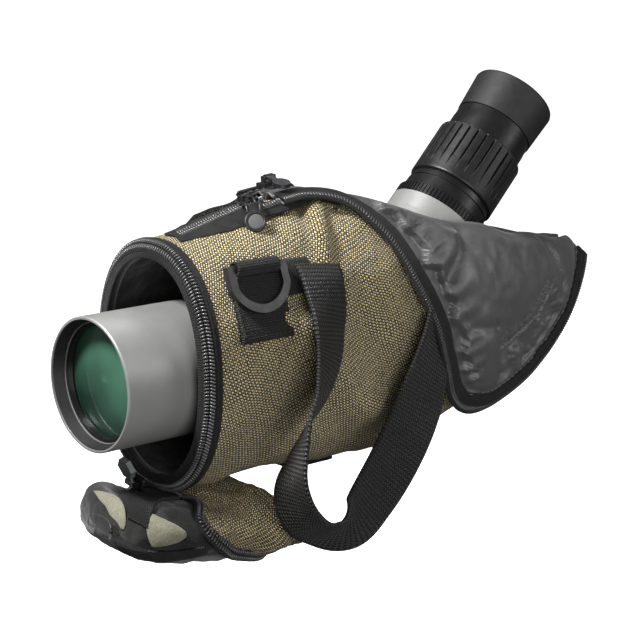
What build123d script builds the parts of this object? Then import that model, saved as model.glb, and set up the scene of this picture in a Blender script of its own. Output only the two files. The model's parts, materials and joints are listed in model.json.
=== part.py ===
from build123d import *
import os
from math import atan2, copysign, cos, degrees, pi, radians, sin

# Angled spotting scope with a 50 mm objective, worn in its fitted view-through case.
# Frame: origin at the mouth of the tripod thread under the foot, +Z up, +X from the objective
# towards the eyepiece, -Y the side with the carry strap.  All sizes are millimetres.
# A station is a distance from the front rim: along the optical axis for the body, and along the
# eyepiece axis from the point where the two axes cross for the eyepiece.

FOOT_STATION = 118.0       # front rim to tripod thread
AXIS_HEIGHT = 56.0         # optical axis above the foot's face
CROSSING_STATION = 160.4   # where the eyepiece axis leaves the optical axis
EYEPIECE_ANGLE = 45.0
RUNNING = 0.08             # radial clearance of turning and sliding fits

SHADE_RADIUS = 30.5
SHADE_LENGTH = 63.7
SHADE_WALL = 1.3
LINER_WALL = 0.55
BARREL_RADIUS = SHADE_RADIUS - SHADE_WALL - LINER_WALL - RUNNING
BARREL_FRONT = 5.8
BARREL_BORE = 26.9
CELL_BORE = 25.65
APERTURE_RADIUS = 24.9
SHOULDER_STATION = 64.2
MID_RADIUS = 24.0
MID_BORE = 21.5
MID_START = 72.0
MID_END = 132.0
FOCUS_START, FOCUS_END, FOCUS_RADIUS = 86.6, 101.4, 27.4
FOCUS_CELL_START = 92.0

HOUSING_RADIUS = 25.5
HOUSING_BALL = 29.0
HOUSING_CAVITY = 24.2
COVER_STATION = 189.0
NECK_BORE = 19.5
NECK_END = 70.4
NECK_RADIUS = 24.0

COLLAR_END, COLLAR_RADIUS = 76.3, 23.9
LOWER_SCALE_END, LOWER_SCALE_RADIUS = 86.0, 22.0
ZOOM_END, ZOOM_RADIUS = 116.0, 22.9
UPPER_SCALE_END, UPPER_SCALE_RADIUS = 124.0, 20.5
SLEEVE_END, SLEEVE_RADIUS = 130.0, 20.3
EYECUP_END, EYECUP_RADIUS = 151.0, 21.9
CHASSIS_RADIUS = 20.5
CHASSIS_BORE = 14.0
CHASSIS_TIP = 18.0

FOOT_LENGTH, FOOT_WIDTH, FOOT_PLATE = 28.0, 26.0, 5.0
THREAD_RADIUS = 3.175      # 1/4-20 tripod thread
THREAD_DEPTH = 9.0

SHELL_WALL, LINING_GAP, LINING_WALL = 2.2, 0.1, 0.9
CASE_ROUNDNESS = 2.2       # exponent of the case's cross-section, 2 is an ellipse
# The case's envelope: station, half width, underside and top against the optical axis
CASE_STATIONS = [
    (38.5, 41.5, -53.0, 58.5),
    (51.0, 41.5, -52.0, 59.3),
    (65.0, 41.5, -51.0, 62.0),
    (97.0, 41.0, -53.0, 68.3),
    (130.0, 41.0, -55.0, 70.8),
    (160.0, 41.0, -56.0, 69.8),
    (190.0, 40.0, -50.0, 64.0),
    (215.0, 37.0, -41.0, 61.0),
    (250.0, 28.0, -28.0, 47.6),
    (285.0, 16.0, -6.0, 31.0),
    (312.0, 4.0, 14.0, 22.0),
]
# Half of the opening in the case's top that the neck stands through: station, half width
SLOT = [(101, 0), (116, 7), (135, 14), (155, 22), (172, 26), (192, 27.5), (215, 27.5), (235, 26),
        (252, 20), (270, 13), (288, 7), (302, 0)]
# Lower edge of a turned-down hood flap, seen from the side: station, height
FLAP_EDGE = [(100, 71), (114, 72), (128, 69), (141, 56), (155, 30), (166, 7), (172, -12), (178, -27),
             (187, -35), (205, -39), (230, -36), (251, -30), (272, -19), (297, 3), (312, 20)]
FLAP_GAP, FLAP_OUTER, FLAP_EDGE_OUTER, FLAP_DROP = 3.4, 5.4, 7.6, 14.0
FLAP_EDGE_WIDTH = 6.5

WEBBING_WIDTH, WEBBING_THICK = 26.0, 1.8
D_RING_BAR, D_RING_WIDTH, D_RING_DEPTH = 2.0, 33.0, 21.0
STRAP_TUCK = 1.2           # gap between the sewn strap ends and the loop that swings

os.makedirs("parts", exist_ok=True)


def at(station, across=0.0, above=0.0):
    """A point from its station, its distance across and its height above the optical axis."""
    return Vector(station - FOOT_STATION, across, above + AXIS_HEIGHT)


OPTIC = Plane(origin=at(0), x_dir=(0, 1, 0), z_dir=(1, 0, 0))
EYE = Plane(
    origin=at(CROSSING_STATION),
    x_dir=(0, 1, 0),
    z_dir=(cos(radians(EYEPIECE_ANGLE)), 0, sin(radians(EYEPIECE_ANGLE))),
)


def turned(outline, axis_plane):
    """A turned solid about a plane's normal; the outline is (station, radius) pairs."""
    section = make_face(Polyline([(radius, 0, station) for station, radius in outline], close=True))
    return axis_plane * revolve(section, Axis.Z)


def ring(start, end, outer, inner, axis_plane):
    """A plain ring between two stations."""
    return turned([(start, inner), (start, outer), (end, outer), (end, inner)], axis_plane)


def lens(start, end, radius, front_bulge, rear_bulge, axis_plane):
    """A lens: the two bulges are how far each face stands out at its centre."""
    front = ThreePointArc(
        (-radius, 0, start), (0, 0, start - front_bulge), (radius, 0, start)
    )
    rear = ThreePointArc((radius, 0, end), (0, 0, end + rear_bulge), (-radius, 0, end))
    sides = [Line((radius, 0, start), (radius, 0, end)), Line((-radius, 0, end), (-radius, 0, start))]
    section = make_face([front, sides[0], rear, sides[1]])
    half = section & (Plane.XZ * Pos(radius, 0) * Rectangle(2 * radius, 8 * radius + 2 * end))
    return axis_plane * revolve(half, Axis.Z)


def ribs(start, end, radius, count, width, depth, axis_plane):
    """Grooves to cut round a grip, evenly spaced."""
    groove = Pos(radius, 0, (start + end) / 2) * Box(2 * depth, width, end - start)
    return [axis_plane * Rot(0, 0, 360 * k / count) * groove for k in range(count)]


# ---------------------------------------------------------------- objective end
def sunshade():
    outer = [(0, SHADE_RADIUS - 0.5), (0.5, SHADE_RADIUS), (SHADE_LENGTH, SHADE_RADIUS)]
    inner = SHADE_RADIUS - SHADE_WALL
    return turned(outer + [(SHADE_LENGTH, inner), (0, inner)], OPTIC)


def sunshade_liner():
    outer = SHADE_RADIUS - SHADE_WALL
    step = BARREL_FRONT - 0.2
    outline = [(0.8, outer), (SHADE_LENGTH, outer), (SHADE_LENGTH, outer - LINER_WALL)]
    outline += [(step, outer - LINER_WALL), (step, BARREL_BORE + 0.3), (0.8, outer - 0.5)]
    return turned(outline, OPTIC)


def objective_barrel():
    outline = [(BARREL_FRONT, BARREL_RADIUS), (SHOULDER_STATION, BARREL_RADIUS)]
    outline += [(SHOULDER_STATION, SHADE_RADIUS), (70, SHADE_RADIUS), (84, 26.5), (86, 26.5)]
    outline += [(86, MID_RADIUS), (MID_START, MID_RADIUS), (66, BARREL_BORE), (BARREL_FRONT, BARREL_BORE)]
    return turned(outline, OPTIC)


def objective_cell():
    outline = [(6.2, BARREL_BORE), (26, BARREL_BORE), (26, 23.5), (21, 23.5), (21, CELL_BORE)]
    return turned(outline + [(6.2, CELL_BORE)], OPTIC)


def objective_retaining_ring():
    outline = [(6.2, CELL_BORE), (8.4, CELL_BORE), (8.4, APERTURE_RADIUS)]
    return turned(outline + [(6.2, APERTURE_RADIUS + 0.4)], OPTIC)


# ---------------------------------------------------------------- middle of the body
def mid_tube():
    return ring(MID_START, MID_END, MID_RADIUS, MID_BORE, OPTIC)


def focus_ring():
    inner = MID_RADIUS + RUNNING
    blank = turned(
        [(FOCUS_START, inner), (FOCUS_START, FOCUS_RADIUS - 0.8), (FOCUS_START + 0.8, FOCUS_RADIUS),
         (FOCUS_END - 0.8, FOCUS_RADIUS), (FOCUS_END, FOCUS_RADIUS - 0.8), (FOCUS_END, inner)],
        OPTIC,
    )
    return blank - ribs(FOCUS_START + 2, FOCUS_END - 2, FOCUS_RADIUS, 36, 1.6, 0.7, OPTIC)


def focus_cell():
    start = FOCUS_CELL_START
    outer = MID_BORE - RUNNING
    outline = [(start, outer), (start + 10, outer), (start + 10, 18), (start + 7, 18)]
    return turned(outline + [(start + 7, 19), (start, 19)], OPTIC)


def tripod_foot():
    block = Pos(0, 0, AXIS_HEIGHT / 2) * Box(FOOT_LENGTH - 6, FOOT_WIDTH - 6, AXIS_HEIGHT)
    plate = Pos(0, 0, FOOT_PLATE / 2) * Box(FOOT_LENGTH, FOOT_WIDTH, FOOT_PLATE)
    plate = fillet(plate.edges().filter_by(Axis.Z), 4)
    barrel_space = Pos(0, 0, AXIS_HEIGHT) * Rot(0, 90, 0) * Cylinder(MID_RADIUS, 2 * FOOT_LENGTH)
    above_axis = Pos(0, 0, 1.5 * AXIS_HEIGHT - 12) * Box(80, 80, AXIS_HEIGHT)
    bush_hole = Pos(0, 0, (THREAD_DEPTH + 1) / 2) * Cylinder(5, THREAD_DEPTH + 1)
    screw_holes = [Pos(x, 0, FOOT_PLATE / 2) * Cylinder(2.1, 60) for x in (-8.5, 8.5)]
    return block + plate - barrel_space - above_axis - bush_hole - screw_holes


def thread_bush():
    outer = Pos(0, 0, (THREAD_DEPTH + 1) / 2) * Cylinder(5, THREAD_DEPTH + 1)
    return outer - Pos(0, 0, THREAD_DEPTH / 2) * Cylinder(THREAD_RADIUS, THREAD_DEPTH)


def foot_screws():
    shank_top = AXIS_HEIGHT - MID_RADIUS - 0.3
    screws = []
    for x in (-8.5, 8.5):
        shank = Pos(x, 0, (2 + shank_top) / 2) * Cylinder(1.9, shank_top - 2)
        socket = Pos(x, 0, 2) * extrude(RegularPolygon(1.2, 6), 2)
        screws.append(shank - socket)
    return screws


# ---------------------------------------------------------------- prism housing
def prism_housing():
    ball = Pos(at(164, 0, 2)) * Sphere(HOUSING_BALL)
    throat = ring(MID_END, 165, HOUSING_RADIUS, 0, OPTIC)
    neck = turned([(0, 0), (0, 26), (28, 26), (52, 24.6), (62, NECK_RADIUS), (NECK_END, NECK_RADIUS),
                   (NECK_END, 0)], EYE)
    body = ball + throat + neck
    cavity = Pos(at(164, 0, 2)) * Sphere(HOUSING_CAVITY)
    light_in = ring(MID_END - 1, 165, 20, 0, OPTIC)
    light_out = ring(0, NECK_END + 1, NECK_BORE, 0, EYE)
    behind = Pos(at(COVER_STATION + 20)) * Box(40, 40, 36)
    screw_holes = [Pos(at(COVER_STATION - 2, y, z)) * Rot(0, 90, 0) * Cylinder(0.9, 6)
                   for y, z in cover_screw_places()]
    cover_seat = Pos(at(COVER_STATION - 3)) * Rot(0, 90, 0) * Cylinder(8, 8)
    return body - cavity - light_in - light_out - behind - screw_holes - cover_seat


def cover_screw_places():
    return [(9.2 * cos(radians(a)), 9.2 * sin(radians(a))) for a in (45, 135, 225, 315)]


def housing_cover():
    plate = Pos(at(COVER_STATION + 1.1)) * Rot(0, 90, 0) * Cylinder(12.6, 2.2)
    spigot = Pos(at(COVER_STATION - 0.9)) * Rot(0, 90, 0) * Cylinder(7.9, 1.8)
    holes = [Pos(at(COVER_STATION, y, z)) * Rot(0, 90, 0) * Cylinder(0.9, 9)
             for y, z in cover_screw_places()]
    return plate + spigot - holes


def cover_screws():
    screws = []
    for y, z in cover_screw_places():
        head = Pos(at(COVER_STATION + 2.75, y, z)) * Rot(0, 90, 0) * Cylinder(1.6, 1.1)
        shank = Pos(at(COVER_STATION - 0.4, y, z)) * Rot(0, 90, 0) * Cylinder(0.85, 5.2)
        screws.append(head + shank)
    return screws


PRISM_OUTLINE = [(151.5, -11.5), (151.5, 11), (163, 15.5), (177.5, 3), (177.5, -11.5)]


def prism_plate(low, high, margin):
    """The roof prism's side outline as a slab between two distances across."""
    outline = [at(s, 0, z) for s, z in PRISM_OUTLINE]
    face = make_face(Polyline(outline, close=True))
    face = offset(face, margin, kind=Kind.INTERSECTION) if margin else face
    return Pos(0, high, 0) * extrude(face, high - low, dir=(0, -1, 0))


def prism():
    return prism_plate(-10.5, 10.5, 0)


def prism_cage():
    return [prism_plate(10.6, 12.2, 0.4), prism_plate(-12.2, -10.6, 0.4)]


# ---------------------------------------------------------------- eyepiece
def eyepiece_chassis():
    outline = [(58, NECK_BORE - 0.05), (NECK_END, NECK_BORE - 0.05), (NECK_END, CHASSIS_RADIUS)]
    outline += [(ZOOM_END + 0.1, CHASSIS_RADIUS), (ZOOM_END + 0.1, 19), (UPPER_SCALE_END, 19)]
    outline += [(UPPER_SCALE_END, CHASSIS_TIP), (146.8, CHASSIS_TIP), (146.8, 12), (138, 12)]
    outline += [(138, CHASSIS_BORE), (58, CHASSIS_BORE)]
    return turned(outline, EYE)


def lock_collar():
    start = NECK_END + 0.15
    inner = CHASSIS_RADIUS + RUNNING
    outline = [(start, inner), (start, COLLAR_RADIUS), (COLLAR_END - 0.6, COLLAR_RADIUS)]
    outline += [(COLLAR_END, COLLAR_RADIUS - 0.8), (COLLAR_END, inner)]
    grooves = ribs(start - 1, COLLAR_END, COLLAR_RADIUS, 72, 0.8, 0.45, EYE)
    return turned(outline, EYE) - grooves


def lower_scale_ring():
    start, end, radius = COLLAR_END + 0.15, LOWER_SCALE_END, LOWER_SCALE_RADIUS
    outline = [(start, CHASSIS_RADIUS), (start, radius + 0.5), (start + 5.6, radius + 0.2)]
    outline += [(start + 5.6, radius - 0.5), (start + 6.4, radius - 0.5), (start + 6.4, radius)]
    return turned(outline + [(end, radius - 0.3), (end, CHASSIS_RADIUS)], EYE)


def zoom_ring():
    start, end = LOWER_SCALE_END + 0.15, ZOOM_END
    inner = CHASSIS_RADIUS + RUNNING
    outline = [(start, inner), (start, ZOOM_RADIUS - 1), (start + 1, ZOOM_RADIUS)]
    outline += [(end - 1, ZOOM_RADIUS), (end, ZOOM_RADIUS - 1), (end, inner)]
    return turned(outline, EYE) - ribs(start + 3, end - 2, ZOOM_RADIUS, 30, 1.2, 0.7, EYE)


def upper_scale_ring():
    start, end = ZOOM_END + 0.15, UPPER_SCALE_END
    return ring(start, end, UPPER_SCALE_RADIUS, 19, EYE)


def eyecup_sleeve():
    start, inner = UPPER_SCALE_END + 0.15, CHASSIS_TIP + RUNNING
    outline = [(start, inner), (start, SLEEVE_RADIUS), (SLEEVE_END - 0.2, SLEEVE_RADIUS)]
    return turned(outline + [(SLEEVE_END - 0.2, 19.4), (146, 19.4), (146, inner)], EYE)


def eyecup():
    inner = 19.4 + RUNNING
    outline = [(SLEEVE_END, inner), (SLEEVE_END, 20.8), (EYECUP_END - 1.4, EYECUP_RADIUS)]
    outline += [(EYECUP_END - 0.4, EYECUP_RADIUS - 0.4), (EYECUP_END, EYECUP_RADIUS - 1.4)]
    outline += [(EYECUP_END, 18.6), (147.2, 16.2), (147.2, inner)]
    return turned(outline, EYE)


def eye_lens_retainer():
    return turned([(143.4, 12), (146.6, 12), (146.6, 11), (143.4, 10)], EYE)


def zoom_cell(start, length):
    outer = CHASSIS_BORE - RUNNING
    outline = [(start, outer), (start + length, outer), (start + length, 10.2), (start, 10.2)]
    return turned(outline, EYE)


# ---------------------------------------------------------------- case envelope
def case_size(station):
    """Half width, underside and top of the case at a station, by straight interpolation."""
    for low, high in zip(CASE_STATIONS, CASE_STATIONS[1:]):
        if station <= high[0] or high is CASE_STATIONS[-1]:
            share = (station - low[0]) / (high[0] - low[0])
            return [a + share * (b - a) for a, b in zip(low[1:], high[1:])]


def rounded_section(station, half_width, low, high, roundness=CASE_ROUNDNESS):
    """A closed cross-section between an ellipse and a rounded rectangle."""
    middle, half = (low + high) / 2, (high - low) / 2
    points = []
    for k in range(20):
        angle = 2 * pi * k / 20
        across = copysign(abs(cos(angle)) ** (2 / roundness), cos(angle)) * half_width
        above = copysign(abs(sin(angle)) ** (2 / roundness), sin(angle)) * half
        points.append(at(station, across, middle + above))
    return make_face(Spline(*points, periodic=True))


def envelope(grow, drop=0.0, overrun=0.0):
    """The case's envelope as a solid, grown or shrunk all round; overrun lengthens its front."""
    first = CASE_STATIONS[0]
    stations = list(CASE_STATIONS)
    if overrun:
        stations = [(first[0] - overrun, *first[1:])] + stations
    faces = []
    for station, half_width, low, high in stations:
        width = max(half_width + grow, 0.6)
        faces.append(rounded_section(station, width, low - grow - drop, high + grow))
    return loft(faces)


def between(start, end):
    """All the space between two stations."""
    return Pos(at((start + end) / 2)) * Box(end - start, 200, 300)


def case_slot(margin):
    """Space of the opening in the case's top, as a prism from above the body upwards."""
    front, rear = SLOT[0][0] - margin, SLOT[-1][0] + margin
    inner = [(s, w + margin) for s, w in SLOT[1:-1]]
    near = Spline(at(front), *[at(s, -w) for s, w in inner], at(rear))
    far = Spline(at(front), *[at(s, w) for s, w in inner], at(rear))
    return Pos(0, 0, 14) * extrude(make_face([near, far]), 80, dir=(0, 0, 1))


def foot_opening(margin):
    size = (FOOT_LENGTH + 2 * margin, FOOT_WIDTH + 2 * margin)
    return Pos(0, 0, 5) * Box(*size, 24)


CASE_SEAMS = (20, 90, 140, 195, 330)     # stations where the rounds of the case are sewn together


def case_body():
    space = envelope(-SHELL_WALL, overrun=6) & between(20, 308)
    shell = envelope(0) - space - case_slot(0) - foot_opening(3)
    rounds = [shell & between(start, end) for start, end in zip(CASE_SEAMS, CASE_SEAMS[1:])]
    return Compound(children=[solid for piece in rounds for solid in piece.solids()])


def case_lining():
    outer = SHELL_WALL + LINING_GAP
    lining = envelope(-outer, overrun=6) & between(CASE_STATIONS[0][0], 300)
    space = envelope(-outer - LINING_WALL, overrun=6) & between(20, 297)
    return lining - space - case_slot(0.6) - foot_opening(4)


def band(start, end, outer_grow, inner_grow):
    """A short straight ring round the case's mouth."""
    size = CASE_STATIONS[0][1:]
    grown = [rounded_section(start, size[0] + g, size[1] - g, size[2] + g) for g in (outer_grow, inner_grow)]
    return extrude(grown[0] - grown[1], end - start, dir=(1, 0, 0))


def mouth_binding():
    size = band(38.7, 42.2, 1.9, -1)
    return size - envelope(0.15)


def mouth_zipper():
    return band(33.6, 38.3, 0.9, -3.1)


# ---------------------------------------------------------------- hood flaps
def side_face(shrink):
    """The flap seen from the side, closed well above the case; shrink moves its edge inwards."""
    rows = [Vector(s - FOOT_STATION, z + AXIS_HEIGHT) for s, z in FLAP_EDGE]
    edge = []
    for k, row in enumerate(rows):
        ahead = (rows[min(k + 1, len(rows) - 1)] - rows[max(k - 1, 0)]).normalized()
        edge.append(row + Vector(-ahead.Y, ahead.X) * shrink)
    top = 120 + AXIS_HEIGHT
    first, last = edge[0], edge[-1]
    rest = Polyline(last, (last.X, top), (first.X, top), first)
    return make_face([Spline(*edge), rest])


def side_prism(shrink):
    return Pos(0, -0.4, 0) * extrude(Plane.XZ * side_face(shrink), 90)


def flap_layer(outer):
    return envelope(outer, drop=FLAP_DROP) - envelope(FLAP_GAP, drop=FLAP_DROP, overrun=6)


def near_flap():
    return (flap_layer(FLAP_OUTER) & side_prism(FLAP_EDGE_WIDTH)) - case_slot(-0.3)


def near_flap_zipper():
    rim = side_prism(0) - side_prism(FLAP_EDGE_WIDTH + 0.05)
    return (flap_layer(FLAP_EDGE_OUTER) & rim) - case_slot(-0.3)


def other_side(shape):
    return mirror(shape, about=Plane.XZ)


# ---------------------------------------------------------------- zips, sliders and pulls
ZIP_START, ZIP_END = 51.0, 97.0
ZIP_RISE = degrees(atan2(68.3 - 59.3, ZIP_END - ZIP_START))
TAPE_TOP = 1.2
COIL_HEIGHT = 1.7
PIN_HEIGHT = 4.0           # a slider's pin above its coil


def top_zip_plane(station, above):
    """A plane on the top zip: X back along the zip, Y across, Z away from the case."""
    height = case_size(station)[2]
    up = Vector(-sin(radians(ZIP_RISE)), 0, cos(radians(ZIP_RISE)))
    return Plane(origin=at(station, 0, height) + up * above, x_dir=(up.Z, 0, -up.X), z_dir=tuple(up))


def top_zipper_tape():
    strip = Pos(at((ZIP_START + ZIP_END) / 2 + 0.5, 0, 70)) * Box(ZIP_END - ZIP_START + 3, 14, 60)
    return (envelope(TAPE_TOP) - envelope(0.05, overrun=6)) & strip


def top_zipper_coil():
    middle = (ZIP_START + ZIP_END) / 2
    place = top_zip_plane(middle, TAPE_TOP + COIL_HEIGHT / 2)
    coil = place * Box((ZIP_END - ZIP_START) / cos(radians(ZIP_RISE)) - 3, 4.4, COIL_HEIGHT + 1.2)
    return coil - envelope(TAPE_TOP + 0.02)


def slider(place):
    """A zip slider over a coil, with the pin its pull hangs on; place is on the coil's top."""
    roof = Pos(0, 0, 1.1) * Box(10, 6.4, 1.2)
    walls = [Pos(0, y, 0.3) * Box(10, 0.7, 1.2) for y in (-2.85, 2.85)]
    posts = [Pos(x, 0, (1.5 + PIN_HEIGHT) / 2) * Box(1.2, 2.4, PIN_HEIGHT + 0.1) for x in (-3, 3)]
    pin = Pos(0, 0, PIN_HEIGHT) * Rot(0, 90, 0) * Cylinder(0.7, 6)
    return place * (roof + walls + posts + pin)


def slider_pull(place, tilt, reach, disc_radius):
    """A pull on the slider's pin: a knuckle, a neck and a disc, tilted down from level."""
    knuckle = Rot(0, 90, 0) * (Cylinder(1.45, 4.4) - Cylinder(0.7 + RUNNING, 5))
    neck = Pos(0, -reach / 2 - 0.4, 0) * Box(3.6, reach - 1.6, 1.2)
    disc = Pos(0, -reach - disc_radius + 1, 0) * Cylinder(disc_radius, 2)
    swung = Rot(tilt, 0, 0) * (knuckle + neck + disc)
    return place * Pos(0, 0, PIN_HEIGHT) * swung


COIL_TOP = TAPE_TOP + COIL_HEIGHT + 0.7
TOP_SLIDER = top_zip_plane(91.0, COIL_TOP)
REAR_SLIDER = Plane(origin=at(104, 0, 77.7), x_dir=(1, 0, 0.076), z_dir=(-0.076, 0, 1))
MOUTH_SLIDER = Plane(origin=at(32.8, 11.5, -52.9), x_dir=(0, 0.985, 0.17), z_dir=(-1, 0, 0))


def tab_pull(place, tilt):
    """A flat moulded tab on a knuckle."""
    knuckle = Rot(0, 90, 0) * (Cylinder(1.45, 4.4) - Cylinder(0.7 + RUNNING, 5))
    neck = Pos(0, -2.6, 0) * Box(3.6, 3.2, 1.2)
    tab = Pos(0, -8.6, 0) * extrude(RegularPolygon(5.4, 6), 1.3, both=True)
    return place * Pos(0, 0, PIN_HEIGHT) * (Rot(tilt, 0, 0) * (knuckle + neck + tab))


# ---------------------------------------------------------------- D-rings and strap
PATCH_TOP = (-30.0, 47.0)      # across and above, on the case's side
PATCH_FOOT = (-40.6, 17.2)
PATCH_STATION = 65.2
PATCH_STAND = 3.3


def patch_plane():
    """On the near side: X back, Y up the case's side, Z outwards."""
    across = PATCH_TOP[0] - PATCH_FOOT[0]
    above = PATCH_TOP[1] - PATCH_FOOT[1]
    size = (across ** 2 + above ** 2) ** 0.5
    out = Vector(0, -above / size, across / size)
    middle = at(PATCH_STATION, (PATCH_TOP[0] + PATCH_FOOT[0]) / 2, (PATCH_TOP[1] + PATCH_FOOT[1]) / 2)
    return Plane(origin=middle + out * PATCH_STAND, x_dir=(1, 0, 0), z_dir=tuple(out))


BAR_UP, BAR_OUT = 15.6, 3.7


def d_ring_patch():
    plate = Pos(0, -0.8, 0.7) * Box(29, 32.8, 1.4)
    loop = Pos(0, BAR_UP, BAR_OUT) * Rot(0, 90, 0) * (Cylinder(3.6, 24) - Cylinder(D_RING_BAR + 0.25, 24))
    return patch_plane() * (plate + loop)


def d_outline(inset):
    half, thick = D_RING_WIDTH / 2 - inset, D_RING_BAR - 0.6 - inset
    legs = -9.0
    arc = ThreePointArc((half, legs), (0, -D_RING_DEPTH + inset), (-half, legs))
    sides = Polyline((-half, legs), (-half, thick), (half, thick), (half, legs))
    return make_face([arc, sides])


def d_ring():
    bow = extrude(d_outline(0) - d_outline(3.9), 1.7, both=True)
    inner = D_RING_WIDTH / 2 - 3.9
    bow = bow - Box(2 * inner, 2 * D_RING_BAR + 1.6, 5)
    bar = Rot(0, 90, 0) * Cylinder(D_RING_BAR, 2 * inner + 1)
    return patch_plane() * (Pos(0, BAR_UP, BAR_OUT) * (bow + bar))


# The loop of webbing: station, across and above, and the direction of its width
STRAP_ROUTE = [
    (99.4, -45.6, 29.0, 0.97, 0.20, -0.12), (97.8, -48.5, 20.9, 0.93, 0.32, -0.19),
    (96.1, -51.0, 9.6, 0.89, 0.40, -0.21), (92.0, -53.0, -0.6, 0.86, 0.48, -0.17),
    (85.6, -55.0, -11.1, 0.79, 0.60, -0.10), (79.0, -56.5, -18.6, 0.67, 0.71, -0.20),
    (75.0, -57.5, -25.2, 0.55, 0.81, -0.20), (70.7, -58.0, -33.9, 0.41, 0.90, -0.15),
    (67.0, -58.3, -43.4, 0.20, 0.97, -0.13), (67.0, -58.5, -52.4, 0.0, 0.99, -0.10),
    (71.4, -58.5, -62.7, -0.10, 0.95, -0.27), (77.5, -58.5, -69.3, 0.05, 0.88, -0.48),
    (85.8, -58.5, -71.9, 0.40, 0.70, -0.60), (102.2, -58.5, -72.7, 0.84, 0.12, -0.53),
    (115.6, -57.5, -62.2, 0.74, -0.13, -0.65), (131.6, -56.0, -46.6, 0.80, -0.25, -0.55),
    (145.6, -54.0, -29.3, 0.81, -0.21, -0.55), (155.0, -52.5, -14.5, 0.85, 0.0, -0.52),
]
STRAP_FRONT_END = [(100.3, -35.0, 49.0, 0.99, 0.08, -0.08), (99.8, -39.5, 40.5, 0.99, 0.13, -0.09),
                   (99.6, -44.6, 31.5, 0.98, 0.20, -0.10)]
STRAP_REAR_END = [(157.5, -51.6, -10.8, 0.85, 0.05, -0.52), (163.0, -48.8, -3.0, 0.83, 0.20, -0.50),
                  (167.5, -46.0, 5.0, 0.80, 0.30, -0.50), (171.0, -44.2, 13.0, 0.80, 0.36, -0.48)]


def strap_rear_end():
    """The sewn end, as far as the flap that covers it."""
    flap_space = envelope(FLAP_EDGE_OUTER + 0.4, drop=FLAP_DROP) & side_prism(-0.6)
    return ribbon(STRAP_REAR_END) - flap_space


def ribbon(route):
    """Webbing along a route as a closed solid."""
    points = [at(*row[:3]) for row in route]
    sections = []
    for k, point in enumerate(points):
        ahead = (points[min(k + 1, len(points) - 1)] - points[max(k - 1, 0)]).normalized()
        width = Vector(*route[k][3:])
        width = (width - ahead * width.dot(ahead)).normalized()
        place = Plane(origin=point, x_dir=tuple(width), z_dir=tuple(ahead))
        sections.append(place * Rectangle(WEBBING_WIDTH, WEBBING_THICK))
    return loft(sections, ruled=True)


# ---------------------------------------------------------------- front cap
CAP_SECTIONS = [(3, 22, -73, -62), (15, 35, -83, -59.5), (41, 41, -89, -58.2)]
CAP_SHELL_SECTIONS = [(41.05, 41, -89, -58.2), (62, 42, -90, -57.8), (80, 41, -87, -59), (88, 33, -82, -62.5)]


def cap_lining():
    return loft([rounded_section(*row, 2.4) for row in CAP_SECTIONS])


def cap_shell():
    return loft([rounded_section(*row, 2.4) for row in CAP_SHELL_SECTIONS])


def cap_zipper():
    outer = rounded_section(39, 42.6, -90.6, -57.4, 2.4)
    inner = rounded_section(39, 41.2, -89.2, -57.9, 2.4)
    return extrude(outer - inner, 4.4, dir=(1, 0, 0)) - cap_lining() - cap_shell()


def cap_hinge_tape():
    tape = Pos(at(38.5, 0, -56.6)) * Box(9, WEBBING_WIDTH, 1.8)
    return tape - cap_lining() - cap_zipper()


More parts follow.
